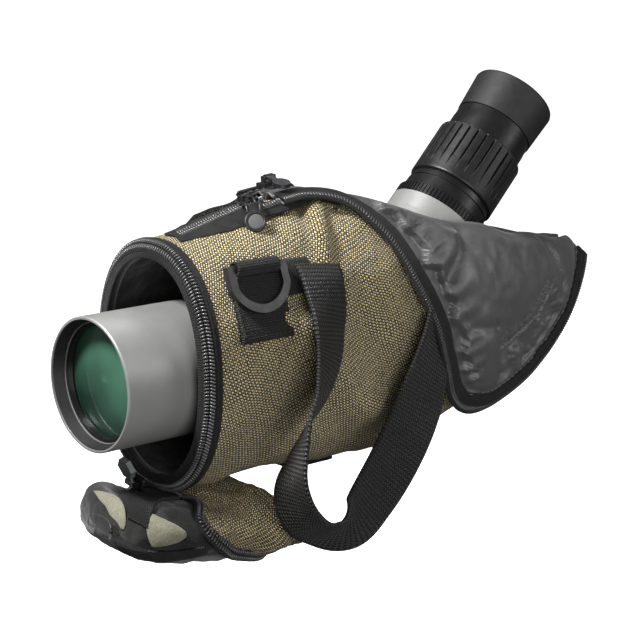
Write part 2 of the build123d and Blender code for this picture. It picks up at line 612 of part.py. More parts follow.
# ---------------------------------------------------------------- all sub-parts
PARTS = {
    "sunshade": sunshade,
    "sunshade_liner": sunshade_liner,
    "objective_barrel": objective_barrel,
    "objective_cell": objective_cell,
    "objective_retaining_ring": objective_retaining_ring,
    "objective_front_element": lambda: lens(9.6, 13.5, CELL_BORE - 0.05, 1.2, 0.8, OPTIC),
    "objective_rear_element": lambda: lens(15.5, 19.5, CELL_BORE - 0.05, 0.4, 0.8, OPTIC),
    "mid_tube": mid_tube,
    "focus_ring": focus_ring,
    "focus_cell": focus_cell,
    "focus_lens": lambda: lens(FOCUS_CELL_START + 1, FOCUS_CELL_START + 5, 18.95, 0.5, 0.5, OPTIC),
    "tripod_foot": tripod_foot,
    "thread_bush": thread_bush,
    "foot_screws": foot_screws,
    "prism_housing": prism_housing,
    "housing_cover": housing_cover,
    "cover_screws": cover_screws,
    "prism": prism,
    "prism_cage": prism_cage,
    "eyepiece_chassis": eyepiece_chassis,
    "lock_collar": lock_collar,
    "lower_scale_ring": lower_scale_ring,
    "zoom_ring": zoom_ring,
    "zoom_cell_front": lambda: zoom_cell(76, 8),
    "zoom_lens_front": lambda: lens(78, 82, 10.15, 0.8, 0.8, EYE),
    "field_stop": lambda: turned([(98, CHASSIS_BORE), (100, CHASSIS_BORE), (100, 9), (98, 8)], EYE),
    "zoom_cell_rear": lambda: zoom_cell(112, 7),
    "zoom_lens_rear": lambda: lens(113.5, 117, 10.15, 0.6, 0.6, EYE),
    "field_lens": lambda: lens(126, 130.5, CHASSIS_BORE - 0.02, 1.2, 0.3, EYE),
    "eye_lens": lambda: lens(139, 142.8, 11.95, 0.8, 1.4, EYE),
    "eye_lens_retainer": eye_lens_retainer,
    "upper_scale_ring": upper_scale_ring,
    "eyecup_sleeve": eyecup_sleeve,
    "eyecup": eyecup,
    "case_body": case_body,
    "case_lining": case_lining,
    "mouth_binding": mouth_binding,
    "mouth_zipper": mouth_zipper,
    "top_zipper_tape": top_zipper_tape,
    "top_zipper_coil": top_zipper_coil,
    "top_slider": lambda: slider(TOP_SLIDER),
    "top_pull": lambda: slider_pull(TOP_SLIDER, 17, 6.2, 4.6),
    "rear_slider": lambda: slider(REAR_SLIDER),
    "rear_pull": lambda: slider_pull(REAR_SLIDER, 14, 6.2, 4.2),
    "mouth_slider": lambda: slider(MOUTH_SLIDER),
    "mouth_pull": lambda: tab_pull(MOUTH_SLIDER, -20),
    "near_flap": near_flap,
    "near_flap_zipper": near_flap_zipper,
    "far_flap": lambda: other_side(near_flap()),
    "far_flap_zipper": lambda: other_side(near_flap_zipper()),
    "d_ring_near": d_ring,
    "d_ring_patch_near": d_ring_patch,
    "d_ring_far": lambda: other_side(d_ring()),
    "d_ring_patch_far": lambda: other_side(d_ring_patch()),
    "carry_strap": lambda: ribbon(STRAP_ROUTE),
    "strap_front_end": lambda: ribbon(STRAP_FRONT_END),
    "strap_rear_end": strap_rear_end,
    "cap_lining": cap_lining,
    "cap_shell": cap_shell,
    "cap_zipper": cap_zipper,
}

for node, build in PARTS.items():
    shape = build()
    if isinstance(shape, list):
        shape = Compound(children=shape)
    export_step(shape, f"parts/{node}.step")
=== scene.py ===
"""Looks of the angled spotting scope in its view-through case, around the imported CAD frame."""

import json
import math

import bmesh
import bpy
import numpy as np
from mathutils import Matrix, Vector, noise


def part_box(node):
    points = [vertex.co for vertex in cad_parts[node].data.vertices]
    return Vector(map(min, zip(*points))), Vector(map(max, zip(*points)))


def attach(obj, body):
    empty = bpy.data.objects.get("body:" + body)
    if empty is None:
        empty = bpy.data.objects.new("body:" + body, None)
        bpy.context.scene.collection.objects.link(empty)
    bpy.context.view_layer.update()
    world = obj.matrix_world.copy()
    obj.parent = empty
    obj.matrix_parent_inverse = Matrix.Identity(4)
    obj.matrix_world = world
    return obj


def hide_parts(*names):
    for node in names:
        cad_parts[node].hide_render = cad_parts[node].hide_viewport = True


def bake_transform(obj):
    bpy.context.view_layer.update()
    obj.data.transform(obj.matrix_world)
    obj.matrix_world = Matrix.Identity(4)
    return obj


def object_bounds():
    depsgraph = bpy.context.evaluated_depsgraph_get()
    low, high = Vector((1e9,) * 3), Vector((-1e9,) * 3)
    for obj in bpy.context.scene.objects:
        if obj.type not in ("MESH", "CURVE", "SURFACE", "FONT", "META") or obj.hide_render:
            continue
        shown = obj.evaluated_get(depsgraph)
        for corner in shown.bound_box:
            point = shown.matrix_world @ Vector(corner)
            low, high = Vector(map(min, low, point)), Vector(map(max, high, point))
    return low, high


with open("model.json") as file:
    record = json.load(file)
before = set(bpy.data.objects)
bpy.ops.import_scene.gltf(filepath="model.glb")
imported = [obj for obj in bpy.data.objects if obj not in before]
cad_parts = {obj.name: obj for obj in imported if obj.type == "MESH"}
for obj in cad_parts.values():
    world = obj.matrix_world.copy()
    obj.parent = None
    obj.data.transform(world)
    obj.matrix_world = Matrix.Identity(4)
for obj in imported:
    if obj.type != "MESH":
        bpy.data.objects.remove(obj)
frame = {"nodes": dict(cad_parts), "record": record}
cad_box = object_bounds()
record = frame["record"]

MM = 0.001
TAU = 2 * math.pi

# ------------------------------------------------------------------ frame
rim_low, rim_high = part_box("sunshade")
RIM_X = rim_low.x / MM
AXIS_Z = (rim_low.z + rim_high.z) / 2 / MM
CROSSING = 160.4           # station where the eyepiece axis leaves the optical axis
EYE_DIR = np.array([math.sqrt(0.5), 0.0, math.sqrt(0.5)])
EYE_UP = np.array([-math.sqrt(0.5), 0.0, math.sqrt(0.5)])

# The case's envelope, as the CAD has it: station, half width, underside and top
CASE_STATIONS = np.array([
    (38.5, 41.5, -53.0, 58.5),
    (51.0, 41.5, -52.0, 59.3),
    (65.0, 41.5, -51.0, 62.0),
    (97.0, 41.0, -53.0, 68.3),
    (130.0, 41.0, -55.0, 70.8),
    (160.0, 41.0, -56.0, 69.8),
    (190.0, 40.0, -50.0, 64.0),
    (215.0, 37.0, -41.0, 61.0),
    (250.0, 28.0, -28.0, 47.6),
    (285.0, 16.0, -6.0, 31.0),
    (312.0, 4.0, 14.0, 22.0),
])
ROUNDNESS = 2.2
SLOT = np.array([(101, 0), (116, 7), (135, 14), (155, 22), (172, 26), (192, 27.5), (215, 27.5),
                 (235, 26), (252, 20), (270, 13), (288, 7), (302, 0.5), (312, 0.2)], float)
FLAP_EDGE = np.array([(99, 71), (114, 72), (128, 69), (141, 56), (155, 30), (166, 7), (172, -12),
                      (178, -27), (187, -35), (205, -39), (230, -36), (251, -30), (272, -19),
                      (297, 3), (312, 20)], float)


def at(station, across=0.0, above=0.0):
    """A point in metres from its station, distance across and height above the axis, in mm."""
    return Vector((station + RIM_X, across, above + AXIS_Z)) * MM


def place(points):
    """Many (station, across, above) points at once, in metres."""
    return (np.asarray(points, float) + np.array([RIM_X, 0.0, AXIS_Z])) * MM


def hermite(keys, where):
    """A smooth curve through the rows of keys, whose first column is the parameter."""
    keys = np.asarray(keys, float)
    x, y = keys[:, 0], keys[:, 1:]
    slope = np.gradient(y, x, axis=0)
    where = np.clip(np.asarray(where, float), x[0], x[-1])
    k = np.clip(np.searchsorted(x, where) - 1, 0, len(x) - 2)
    h = (x[k + 1] - x[k])[..., None]
    t = (where - x[k])[..., None] / h
    return ((2 * t ** 3 - 3 * t ** 2 + 1) * y[k] + (t ** 3 - 2 * t ** 2 + t) * h * slope[k]
            + (3 * t ** 2 - 2 * t ** 3) * y[k + 1] + (t ** 3 - t ** 2) * h * slope[k + 1])


def run_along(path):
    """Distance run from a path's first point to each of its points."""
    return np.concatenate([[0], np.cumsum(np.linalg.norm(np.diff(path, axis=0), axis=1))])


def sample(where, run, values):
    """The columns of values, given at the distances run, read off at other distances."""
    return np.column_stack([np.interp(where, run, column) for column in values.T])


def curve_through(points, count):
    """count points evenly spaced along a smooth curve through the given ones."""
    points = np.asarray(points, float)
    lengths = run_along(points)
    fine = hermite(np.column_stack([lengths, points]), np.linspace(0, lengths[-1], 40 * len(points)))
    run = run_along(fine)
    return sample(np.linspace(0, run[-1], count), run, fine)


def case_section(station, drop=0.0):
    """Half the width of the envelope at a station, the height of its middle and half its height."""
    size = hermite(CASE_STATIONS, station)
    low = size[..., 1] - drop
    return size[..., 0], (low + size[..., 2]) / 2, (size[..., 2] - low) / 2


def squarish(share, power):
    """A sine or cosine as it is on a rounded box: power 2 is an ellipse, more is squarer."""
    return np.sign(share) * np.abs(share) ** (2 / power)


def case_surface(station, angle, grow=0.0, drop=0.0):
    """Points of the case's envelope; angle is 90 degrees at the top and 180 on the strap's side."""
    station, angle = np.broadcast_arrays(np.asarray(station, float), np.asarray(angle, float))
    width, middle, half = case_section(station, drop)
    across = squarish(np.cos(angle), ROUNDNESS) * (width + grow)
    above = middle + squarish(np.sin(angle), ROUNDNESS) * (half + grow)
    return np.stack([station, across, above], -1)


def top_angle(station, width, grow=0.0):
    """The angle from the horizontal where the envelope is a given width off the middle."""
    share = np.clip(width / (case_section(station)[0] + grow), 0, 1)
    return np.arccos(share ** (ROUNDNESS / 2))


def side_point(station, above, grow):
    """The point of the envelope at a station and height, on the strap's side."""
    station, above = np.broadcast_arrays(np.asarray(station, float), np.asarray(above, float))
    width, middle, half = case_section(station)
    share = np.clip(np.abs((above - middle) / (half + grow)), 0, 1)
    across = -(width + grow) * (1 - share ** ROUNDNESS) ** (1 / ROUNDNESS)
    return np.stack([station, across, above], -1)


def lump(x, centre, width):
    """A bell curve, 1 at its centre."""
    return np.exp(-((x - centre) / width) ** 2)


def smooth_step(x, low, high):
    """0 up to low and 1 from high on, smooth between them."""
    t = np.clip((x - low) / (high - low), 0, 1)
    return t * t * (3 - 2 * t)


def window(x, low, full, fade, high):
    """1 between full and fade, falling smoothly to 0 at low and at high."""
    return smooth_step(x, low, full) * (1 - smooth_step(x, fade, high))


def field(points, size, seed=0.0, octaves=2):
    """Smooth noise at points in mm, between about -1 and 1."""
    flat = np.asarray(points, float).reshape(-1, 3) / size + seed
    values = [noise.fractal(Vector(p), 0.8, 2.0, octaves) for p in flat]
    return np.array(values).reshape(np.asarray(points).shape[:-1])


# ------------------------------------------------------------------ meshes
def new_object(name, vertices, faces, material, cloth=None):
    mesh = bpy.data.meshes.new(name)
    mesh.from_pydata([tuple(v) for v in vertices], [], [tuple(f) for f in faces])
    mesh.update()
    mesh.polygons.foreach_set("use_smooth", [True] * len(mesh.polygons))
    if cloth is not None:
        layer = mesh.attributes.new("cloth", "FLOAT_VECTOR", "POINT")
        layer.data.foreach_set("vector", np.asarray(cloth, np.float32).ravel())
    piece = bpy.data.objects.new(name, mesh)
    bpy.context.scene.collection.objects.link(piece)
    piece.data.materials.append(material)
    return piece


def grid_faces(rows, columns, around=False, first=0):
    faces = []
    last = columns if around else columns - 1
    for i in range(rows - 1):
        for j in range(last):
            k = (j + 1) % columns
            a, b = first + i * columns + j, first + i * columns + k
            faces.append((a, b, b + columns, a + columns))
    return faces


def run_lengths(points, axis):
    """Distance run along one axis of a grid of points."""
    steps = np.linalg.norm(np.diff(points, axis=axis), axis=-1)
    start = np.zeros_like(np.take(steps, [0], axis=axis))
    return np.concatenate([start, np.cumsum(steps, axis=axis)], axis=axis)


def cloth(name, held, rests_on=(), with_pieces=()):
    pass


def sheet_mesh(name, points, material, thickness=0.0, around=False, flip=False, offset=-1.0):
    """A grid of (station, across, above) points as a sheet, with its own cloth coordinates in mm."""
    points = np.asarray(points, float)
    rows, columns = points.shape[:2]
    along = run_lengths(points, 0)
    across = run_lengths(points, 1)
    across = across - across[:, columns // 2][:, None]
    cloth = np.stack([along, across, np.zeros_like(along)], -1)
    faces = grid_faces(rows, columns, around)
    if flip:
        faces = [f[::-1] for f in faces]
    piece = new_object(name, place(points.reshape(-1, 3)), faces, material, cloth=cloth.reshape(-1, 3))
    if thickness:
        solid = piece.modifiers.new("thickness", "SOLIDIFY")
        solid.thickness = thickness * MM
        solid.offset = offset
        solid.use_even_offset = False
    return piece


def normals_of(points):
    """Unit normals of a grid of points."""
    du = np.gradient(points, axis=0)
    dv = np.gradient(points, axis=1)
    n = np.cross(du, dv)
    return n / np.maximum(np.linalg.norm(n, axis=-1, keepdims=True), 1e-9)


def unit(v):
    v = np.asarray(v, float)
    return v / np.maximum(np.linalg.norm(v, axis=-1, keepdims=True), 1e-9)


def square_to(direction, ahead):
    """The part of a direction that is at right angles to another, as a unit vector."""
    return unit(direction - (direction * ahead).sum(-1, keepdims=True) * ahead)


def tangents(path, closed=False):
    if closed:
        return unit(np.roll(path, -1, axis=0) - np.roll(path, 1, axis=0))
    return unit(np.gradient(path, axis=0))


def sweep(name, path, outward, profile, material, closed=False):
    """A profile of (outward, sideways) points in mm swept along a path in mm."""
    path = np.asarray(path, float)
    ahead = tangents(path, closed)
    out = square_to(outward, ahead)
    side = np.cross(ahead, out)
    profile = np.asarray(profile, float)
    points = (path[:, None] + out[:, None] * profile[None, :, :1] + side[:, None] * profile[None, :, 1:2])
    rows, columns = points.shape[:2]
    run = run_along(path)
    step = np.linalg.norm(profile - np.roll(profile, 1, axis=0), axis=1)
    cloth = np.stack(np.broadcast_arrays(run[:, None], np.cumsum(step)[None, :], 0.0), -1)
    faces = grid_faces(rows, columns, around=True)
    if closed:
        last = (rows - 1) * columns
        faces += [(last + j, last + (j + 1) % columns, (j + 1) % columns, j) for j in range(columns)]
    else:
        faces += [tuple(range(columns))[::-1], tuple((rows - 1) * columns + j for j in range(columns))]
    return new_object(name, place(points.reshape(-1, 3)), faces, material, cloth=cloth.reshape(-1, 3))


def round_profile(width, height, count=12):
    """An ellipse as a profile."""
    turn = np.arange(count) * TAU / count
    return np.stack([np.sin(turn) * height / 2, np.cos(turn) * width / 2], -1)


def flat_profile(width, height):
    """A flat band with rounded edges as a profile."""
    w, h = width / 2, height / 2
    return np.array([(-h, -w + h), (-h * 0.5, -w), (h * 0.5, -w), (h, -w + h), (h, 0), (h, w - h),
                     (h * 0.5, w), (-h * 0.5, w), (-h, w - h), (-h, 0)])


TOOTH_RING = [(-1, -0.35), (-0.7, -1), (0.7, -1), (1, -0.35), (1, 0.35), (0.7, 1), (-0.7, 1), (-1, 0.35)]


def teeth(name, path, outward, material, pitch=1.2, length=1.7, width=0.62, height=0.8, sideways=0.0,
          lift=0.0, closed=False, lean=0.0):
    """A row of moulded zip teeth laid across a path; sideways and lift shift the row."""
    path = np.asarray(path, float)
    if closed:
        path = np.vstack([path, path[:1]])
        outward = np.vstack([outward, outward[:1]])
    run = run_along(path)
    count = max(int(run[-1] / pitch), 2)
    stops = (np.arange(count) + 0.5) * run[-1] / count
    centre = sample(stops, run, path)
    ahead = unit(sample(stops, run, np.gradient(path, axis=0)))
    out = square_to(unit(sample(stops, run, np.asarray(outward))), ahead)
    side = np.cross(ahead, out)
    vertices, faces = [], []
    for c, o, a, s in zip(centre, out, ahead, side):
        base = len(vertices)
        middle = c + s * sideways + o * lift
        direction = unit(s + a * lean)
        for end, scale in ((-0.5, 0.55), (-0.36, 1.0), (0.36, 1.0), (0.5, 0.55)):
            for x, y in TOOTH_RING:
                vertices.append(middle + direction * end * length + a * x * width / 2 * scale
                                + o * y * height / 2 * scale)
        faces += [tuple(f) for f in grid_faces(4, 8, around=True, first=base)]
        faces += [tuple(base + k for k in range(8))[::-1], tuple(base + 24 + k for k in range(8))]
    return new_object(name, place(vertices), faces, material)


def lathe(name, rows, material, origin, axis, segments=160, shape=None, up=EYE_UP):
    """A turned piece from (station, radius) rows; shape(angle, station, radius) may change radii."""
    rows = np.asarray(rows, float)
    angle = np.arange(segments) * TAU / segments
    axis = np.asarray(axis, float)
    other = np.cross(axis, up)
    radius = np.repeat(rows[:, 1:2], segments, axis=1)
    if shape is not None:
        radius = shape(angle[None, :], rows[:, :1], radius)
    ring = up * np.cos(angle)[:, None] + other * np.sin(angle)[:, None]
    points = (np.asarray(origin) + axis * rows[:, None, :1] + ring[None] * radius[..., None])
    closed = np.allclose(rows[0], rows[-1])
    faces = grid_faces(len(rows), segments, around=True)
    cloth = np.stack(np.broadcast_arrays(angle[None, :] * 20, rows[:, :1], 0.0), -1)
    piece = new_object(name, place(points.reshape(-1, 3)), faces, material, cloth=cloth.reshape(-1, 3))
    if closed:
        join_close(piece)
    return piece


def join_close(piece, distance=0.00001):
    mesh = bmesh.new()
    mesh.from_mesh(piece.data)
    bmesh.ops.remove_doubles(mesh, verts=mesh.verts, dist=distance)
    bmesh.ops.recalc_face_normals(mesh, faces=mesh.faces)
    mesh.to_mesh(piece.data)
    mesh.free()


def rounded(rows, radius=0.25, steps=3):
    """Rounds the corners of a list of (station, radius) rows."""
    rows = [np.array(r, float) for r in rows]
    out = [rows[0]]
    for before, here, after in zip(rows, rows[1:], rows[2:]):
        a, b = before - here, after - here
        cut = min(radius, np.linalg.norm(a) * 0.45, np.linalg.norm(b) * 0.45)
        p, q = here + unit(a) * cut, here + unit(b) * cut
        for k in range(steps + 1):
            t = k / steps
            out.append((1 - t) ** 2 * p + 2 * t * (1 - t) * here + t * t * q)
    out.append(rows[-1])
    return np.array(out)


# ------------------------------------------------------------------ materials
class Look:
    """A procedural material being built; its methods add nodes and return their outputs."""

    def __init__(self, name, **sockets):
        self.material = bpy.data.materials.new(name)
        self.material.use_nodes = True
        self.tree = self.material.node_tree
        self.shader = self.tree.nodes["Principled BSDF"]
        for socket, value in sockets.items():
            self.shader.inputs[socket.replace("_", " ")].default_value = value

    def add(self, kind, *inputs, **settings):
        made = self.tree.nodes.new(kind)
        for key, value in settings.items():
            setattr(made, key, value)
        for slot, value in inputs:
            if hasattr(value, "is_linked"):
                self.tree.links.new(value, made.inputs[slot])
            else:
                made.inputs[slot].default_value = value
        return made

    def math(self, operation, a, b=0.0):
        return self.add("ShaderNodeMath", (0, a), (1, b), operation=operation).outputs[0]

    def where(self):
        return self.add("ShaderNodeTexCoord").outputs["Object"]

    def cloth(self):
        made = self.add("ShaderNodeAttribute", attribute_name="cloth")
        parts = self.add("ShaderNodeSeparateXYZ", (0, made.outputs["Vector"]))
        return parts.outputs[0], parts.outputs[1]

    def noise(self, scale, detail=3.0, vector=None, roughness=0.5):
        made = self.add("ShaderNodeTexNoise", ("Vector", vector or self.where()), ("Scale", scale),
                        ("Detail", detail), ("Roughness", roughness))
        return made.outputs["Fac"]

    def remap(self, value, low, high, to_low=0.0, to_high=1.0):
        made = self.add("ShaderNodeMapRange", ("Value", value), ("From Min", low), ("From Max", high),
                        ("To Min", to_low), ("To Max", to_high))
        return made.outputs["Result"]

    def mix(self, share, a, b):
        made = self.add("ShaderNodeMix", ("Factor", share), (6, a), (7, b), data_type="RGBA")
        return made.outputs[2]

    def use(self, socket, value):
        self.tree.links.new(value, self.shader.inputs[socket])

    def colour(self, share, dark, light):
        self.use("Base Color", self.mix(share, rgb(*dark), rgb(*light)))

    def roughness(self, scale, low, high):
        self.use("Roughness", self.remap(self.noise(scale), 0.3, 0.7, low, high))

    def times(self, a, b):
        return self.math("MULTIPLY", a, b)

    def plus(self, a, b):
        return self.math("ADD", a, b)

    def wave(self, value, length):
        """A sine of the value, with the given wavelength."""
        return self.math("SINE", self.times(value, TAU / length))

    def bump(self, height, strength, distance):
        made = self.add("ShaderNodeBump", ("Strength", strength), ("Distance", distance), ("Height", height))
        previous = self.shader.inputs["Normal"].links
        if previous:
            self.tree.links.new(previous[0].from_socket, made.inputs["Normal"])
        self.tree.links.new(made.outputs["Normal"], self.shader.inputs["Normal"])


def rgb(r, g, b):
    return (r, g, b, 1.0)


def paint_look(name, light, dark, rough, metal, grain):
    """Fine sprayed paint or anodising: a slight orange peel, a slow change of shade, worn sheen."""
    look = Look(name, Metallic=metal, Specular_IOR_Level=0.5)
    shade = look.noise(60.0, 4.0)
    speckle = look.noise(2600.0, 2.0)
    tone = look.plus(look.times(shade, 0.6), look.times(speckle, 0.4))
    look.colour(look.remap(tone, 0.3, 0.7), dark, light)
    look.roughness(180.0, rough - 0.05, rough + 0.07)
    look.bump(look.noise(grain, 2.0), 0.12, 0.0002)
    return look.material


YARN_SLANT = 0.42


def weave_look(name, dark, light, pitch, depth, rough, sheen=0.15, contrast=1.0):
    """A coarse plain weave of thick yarns, with painted light: painted highlights on the raised floats,
    painted shade in the gaps between them, each yarn a little different.
    """
    look = Look(name, Sheen_Weight=sheen, Sheen_Roughness=0.5, Specular_IOR_Level=0.35)
    u, v = look.cloth()
    # the yarns run at a slant to the seams, and wander a little
    wander = look.times(look.math("SUBTRACT", look.noise(70.0, 2.0), 0.5), pitch * 1.5)
    slanted_u = look.plus(u, look.times(v, YARN_SLANT))
    slanted_v = look.math("SUBTRACT", v, look.times(u, YARN_SLANT))
    cu = look.math("DIVIDE", look.plus(slanted_u, wander), pitch)
    cv = look.math("DIVIDE", look.plus(slanted_v, wander), pitch)
    product = look.times(look.wave(cu, 2.0), look.wave(cv, 2.0))
    float_height = look.math("POWER", look.math("ABSOLUTE", product), 0.7)
    warp = look.remap(product, -0.15, 0.15)
    cell_u, cell_v = look.math("FLOOR", cu), look.math("FLOOR", cv)
    cell = look.add("ShaderNodeCombineXYZ", (0, cell_u), (1, cell_v)).outputs[0]
    random_tone = look.add("ShaderNodeTexWhiteNoise", ("Vector", cell)).outputs["Value"]
    # painted shade and highlight: the colour follows the yarns' height, dark where they sink into the gaps
    # and light on the floats
    base = look.times(float_height, look.remap(random_tone, 0.0, 1.0, 0.72, 1.0))
    base = look.times(base, look.remap(warp, 0.0, 1.0, 0.55, 1.0))
    broad = look.remap(look.noise(28.0, 3.0), 0.3, 0.7, 0.82, 1.08)
    look.colour(look.times(look.remap(base, 0.30, 0.80, 0.0, contrast), broad), dark, light)
    look.use("Roughness", look.remap(float_height, 0.0, 1.0, rough + 0.15, rough))
    look.bump(look.plus(float_height, look.times(warp, 0.35)), 0.85, depth)
    return look.material


def webbing_look(name, pitch, tone, rough):
    """Ribbed webbing or tape: ribs across its length, fine yarns along it, with painted highlights on the
    raised ribs and painted shade between them.
    """
    look = Look(name, Sheen_Weight=0.04, Sheen_Roughness=0.4, Specular_IOR_Level=0.4)
    u, v = look.cloth()
    rib = look.wave(u, pitch)
    yarn = look.wave(v, pitch * 0.8)
    offset_rib = look.math("SINE", look.plus(look.times(u, TAU / pitch), look.times(yarn, 1.2)))
    height = look.plus(look.times(offset_rib, 0.6), look.times(yarn, 0.25))
    # painted light: the colour follows the ribs' height, light on their tops and dark in the grooves
    shade = look.remap(height, -0.35, 0.8)
    shade = look.times(shade, look.remap(look.noise(400.0, 3.0), 0.3, 0.7, 0.75, 1.15))
    look.colour(shade, (tone * 0.2, tone * 0.19, tone * 0.19), (tone * 2.6, tone * 2.5, tone * 2.45))
    look.use("Roughness", look.remap(rib, -1.0, 1.0, rough + 0.15, rough - 0.05))
    look.bump(height, 0.9, 0.0005)
    return look.material


def fleece_look(name, dark, light, size=900.0):
    """Brushed fleece: a soft nap with no yarns showing."""
    look = Look(name, Sheen_Weight=0.35, Sheen_Roughness=0.5, Roughness=0.95, Specular_IOR_Level=0.2)
    nap = look.noise(size, 5.0, roughness=0.7)
    broad = look.noise(60.0, 3.0)
    tone = look.plus(look.times(nap, 0.6), look.times(broad, 0.4))
    look.colour(look.remap(tone, 0.35, 0.65), dark, light)
    look.bump(nap, 0.6, 0.0005)
    return look.material


def satin_look(name, tone):
    """Thin satin lining: a fine twill, a soft lustre and small rumples."""
    look = Look(name, Sheen_Weight=0.2, Sheen_Roughness=0.3, Specular_IOR_Level=0.7,
                Anisotropic=0.4)
    u, v = look.cloth()
    twill = look.wave(look.plus(u, v), 0.7)
    rumple = look.noise(110.0, 5.0, roughness=0.6)
    shade = look.remap(look.noise(45.0, 4.0), 0.3, 0.7)
    look.colour(shade, (tone * 0.85, tone * 0.84, tone * 0.87), (tone * 1.15, tone * 1.14, tone * 1.17))
    look.roughness(220.0, 0.36, 0.5)
    look.bump(rumple, 0.35, 0.0012)
    look.bump(twill, 0.12, 0.00008)
    return look.material


def plastic_look(name, tone, rough, tint=(1.0, 1.0, 1.0), grain=1500.0, strength=0.15):
    """Moulded plastic or rubber with a fine texture and rubbed high spots."""
    look = Look(name, Specular_IOR_Level=0.5)
    shade = look.noise(150.0, 4.0)
    low = [tone * 0.8 * t for t in tint]
    high = [tone * 1.25 * t for t in tint]
    look.colour(look.remap(shade, 0.3, 0.7), low, high)
    look.roughness(300.0, rough - 0.05, rough + 0.08)
    look.bump(look.noise(grain, 3.0), strength, 0.0002)
    return look.material


def metal_look(name, tone, rough, scale=900.0):
    """Brushed or cast metal with faint scratches."""
    look = Look(name, Metallic=0.9)
    shade = look.noise(scale, 4.0)
    low, high = [t * 0.8 for t in tone], [t * 1.15 for t in tone]
    look.colour(look.remap(shade, 0.3, 0.7), low, high)
    look.roughness(scale * 0.4, rough - 0.06, rough + 0.1)
    look.bump(shade, 0.1, 0.0001)
    return look.material


def coated_glass_look():
    """Multicoated glass: a deep green body with a painted reflection that pales it towards the top and the
    near side of the dome.
    """
    look = Look("coated_glass", Roughness=0.06, Coat_Weight=0.5, Coat_Roughness=0.03,
                Specular_IOR_Level=0.6, Metallic=0.15)
    # painted reflection: the colour pales with height and towards the near side, where the studio light would
    # be mirrored
    parts = look.add("ShaderNodeSeparateXYZ", (0, look.where()))
    reach = 0.026              # metres, about the front lens's radius
    height = look.remap(parts.outputs[2], AXIS_Z * MM - reach, AXIS_Z * MM + reach)
    across = look.remap(parts.outputs[1], reach, -reach)
    painted_reflection_share = look.plus(look.times(height, 0.55), look.times(across, 0.45))
    drift = look.times(look.math("SUBTRACT", look.noise(38.0, 2.0), 0.5), 0.5)
    share = look.remap(look.plus(painted_reflection_share, drift), 0.2, 0.95)
    look.colour(share, (0.012, 0.035, 0.024), (0.10, 0.27, 0.175))
    return look.material


def clear_glass_look():
    look = Look("clear_glass", Roughness=0.02, Transmission_Weight=1.0, IOR=1.5)
    look.colour(look.noise(20.0, 2.0), (0.90, 0.95, 0.92), (0.95, 0.98, 0.97))
    return look.material


GREY_PAINT = paint_look("grey_paint", (0.33, 0.33, 0.322), (0.27, 0.27, 0.262), 0.42, 0.25, 1700.0)
BLACK_ANODISED = paint_look("black_anodised", (0.016, 0.016, 0.017), (0.009, 0.009, 0.010), 0.32, 0.3, 2400.0)
BARE_EDGE = metal_look("bare_edge", (0.75, 0.75, 0.75), 0.3)
FLOCK = plastic_look("flock", 0.010, 0.55, grain=2500.0, strength=0.3)
COATED_GLASS = coated_glass_look()
CLEAR_GLASS = clear_glass_look()
STEEL = metal_look("steel", (0.55, 0.55, 0.57), 0.35)
RUBBER = plastic_look("rubber", 0.011, 0.55, grain=2600.0, strength=0.35)
RUBBER_RING = plastic_look("rubber_ring", 0.007, 0.42, grain=2600.0, strength=0.2)
# khaki's dark end is the painted shade in the weave's gaps, its light end the painted highlight on the floats
KHAKI = weave_look("khaki", (0.006, 0.004, 0.002), (0.98, 0.80, 0.42), 1.25, 0.0009, 0.42, contrast=2.1)
FLEECE = fleece_look("fleece", (0.002, 0.002, 0.002), (0.014, 0.013, 0.013))
CAP_FLEECE = fleece_look("cap_fleece", (0.005, 0.005, 0.005), (0.028, 0.026, 0.025), 1400.0)
SATIN = satin_look("satin", 0.085)
# the webbings', grosgrain's and tape's colour runs from painted shade in the grooves to painted highlights on
# the ribs
WEBBING = webbing_look("webbing", 1.9, 0.014, 0.40)
WEBBING_PATCH = webbing_look("webbing_patch", 1.1, 0.013, 0.5)
GROSGRAIN = webbing_look("grosgrain", 1.1, 0.013, 0.5)
TAPE = webbing_look("tape", 0.5, 0.014, 0.55)
COIL = plastic_look("coil", 0.075, 0.20, grain=800.0, strength=0.05)
BUCKLE = plastic_look("buckle", 0.018, 0.36, grain=1800.0, strength=0.12)
PULL_METAL = metal_look("pull_metal", (0.10, 0.10, 0.105), 0.35)
PULL_FACE = paint_look("pull_face", (0.16, 0.16, 0.16), (0.10, 0.10, 0.10), 0.5, 0.4, 2200.0)
PULL_GREY = plastic_look("pull_grey", 0.20, 0.4, tint=(0.92, 1.0, 1.03), grain=900.0)
PALE_CLOTH = fleece_look("pale_cloth", (0.13, 0.13, 0.085), (0.30, 0.295, 0.22), 1100.0)
THREAD = plastic_look("thread", 0.02, 0.6, grain=3000.0)
MARKING = plastic_look("marking", 0.6, 0.5, grain=2000.0)

CAD_LOOKS = {
    "grey_paint": GREY_PAINT, "black_anodised": BLACK_ANODISED, "bare_edge": BARE_EDGE, "flock": FLOCK,
    "coated_glass": COATED_GLASS, "glass": CLEAR_GLASS, "steel": STEEL, "rubber": RUBBER,
    "khaki": KHAKI, "lining": FLEECE, "satin": SATIN, "webbing": WEBBING, "tape": TAPE, "coil": COIL,
    "buckle": BUCKLE, "pull_metal": PULL_METAL, "pull_grey": PULL_GREY, "brass_metal": STEEL,
}
slot_of = {entry["node"]: entry["material_slot"] for entry in record["subparts"]}
for node_name, node_object in frame["nodes"].items():
    look = CAD_LOOKS[slot_of[node_name]]
    node_object.data.materials.clear()
    node_object.data.materials.append(look)


def finish_piece(piece, body, slot, *nodes):
    """Rides the piece on its body and hides the CAD nodes that it stands for; slot is not used."""
    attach(piece, body)
    if nodes:
        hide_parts(*nodes)
    return piece


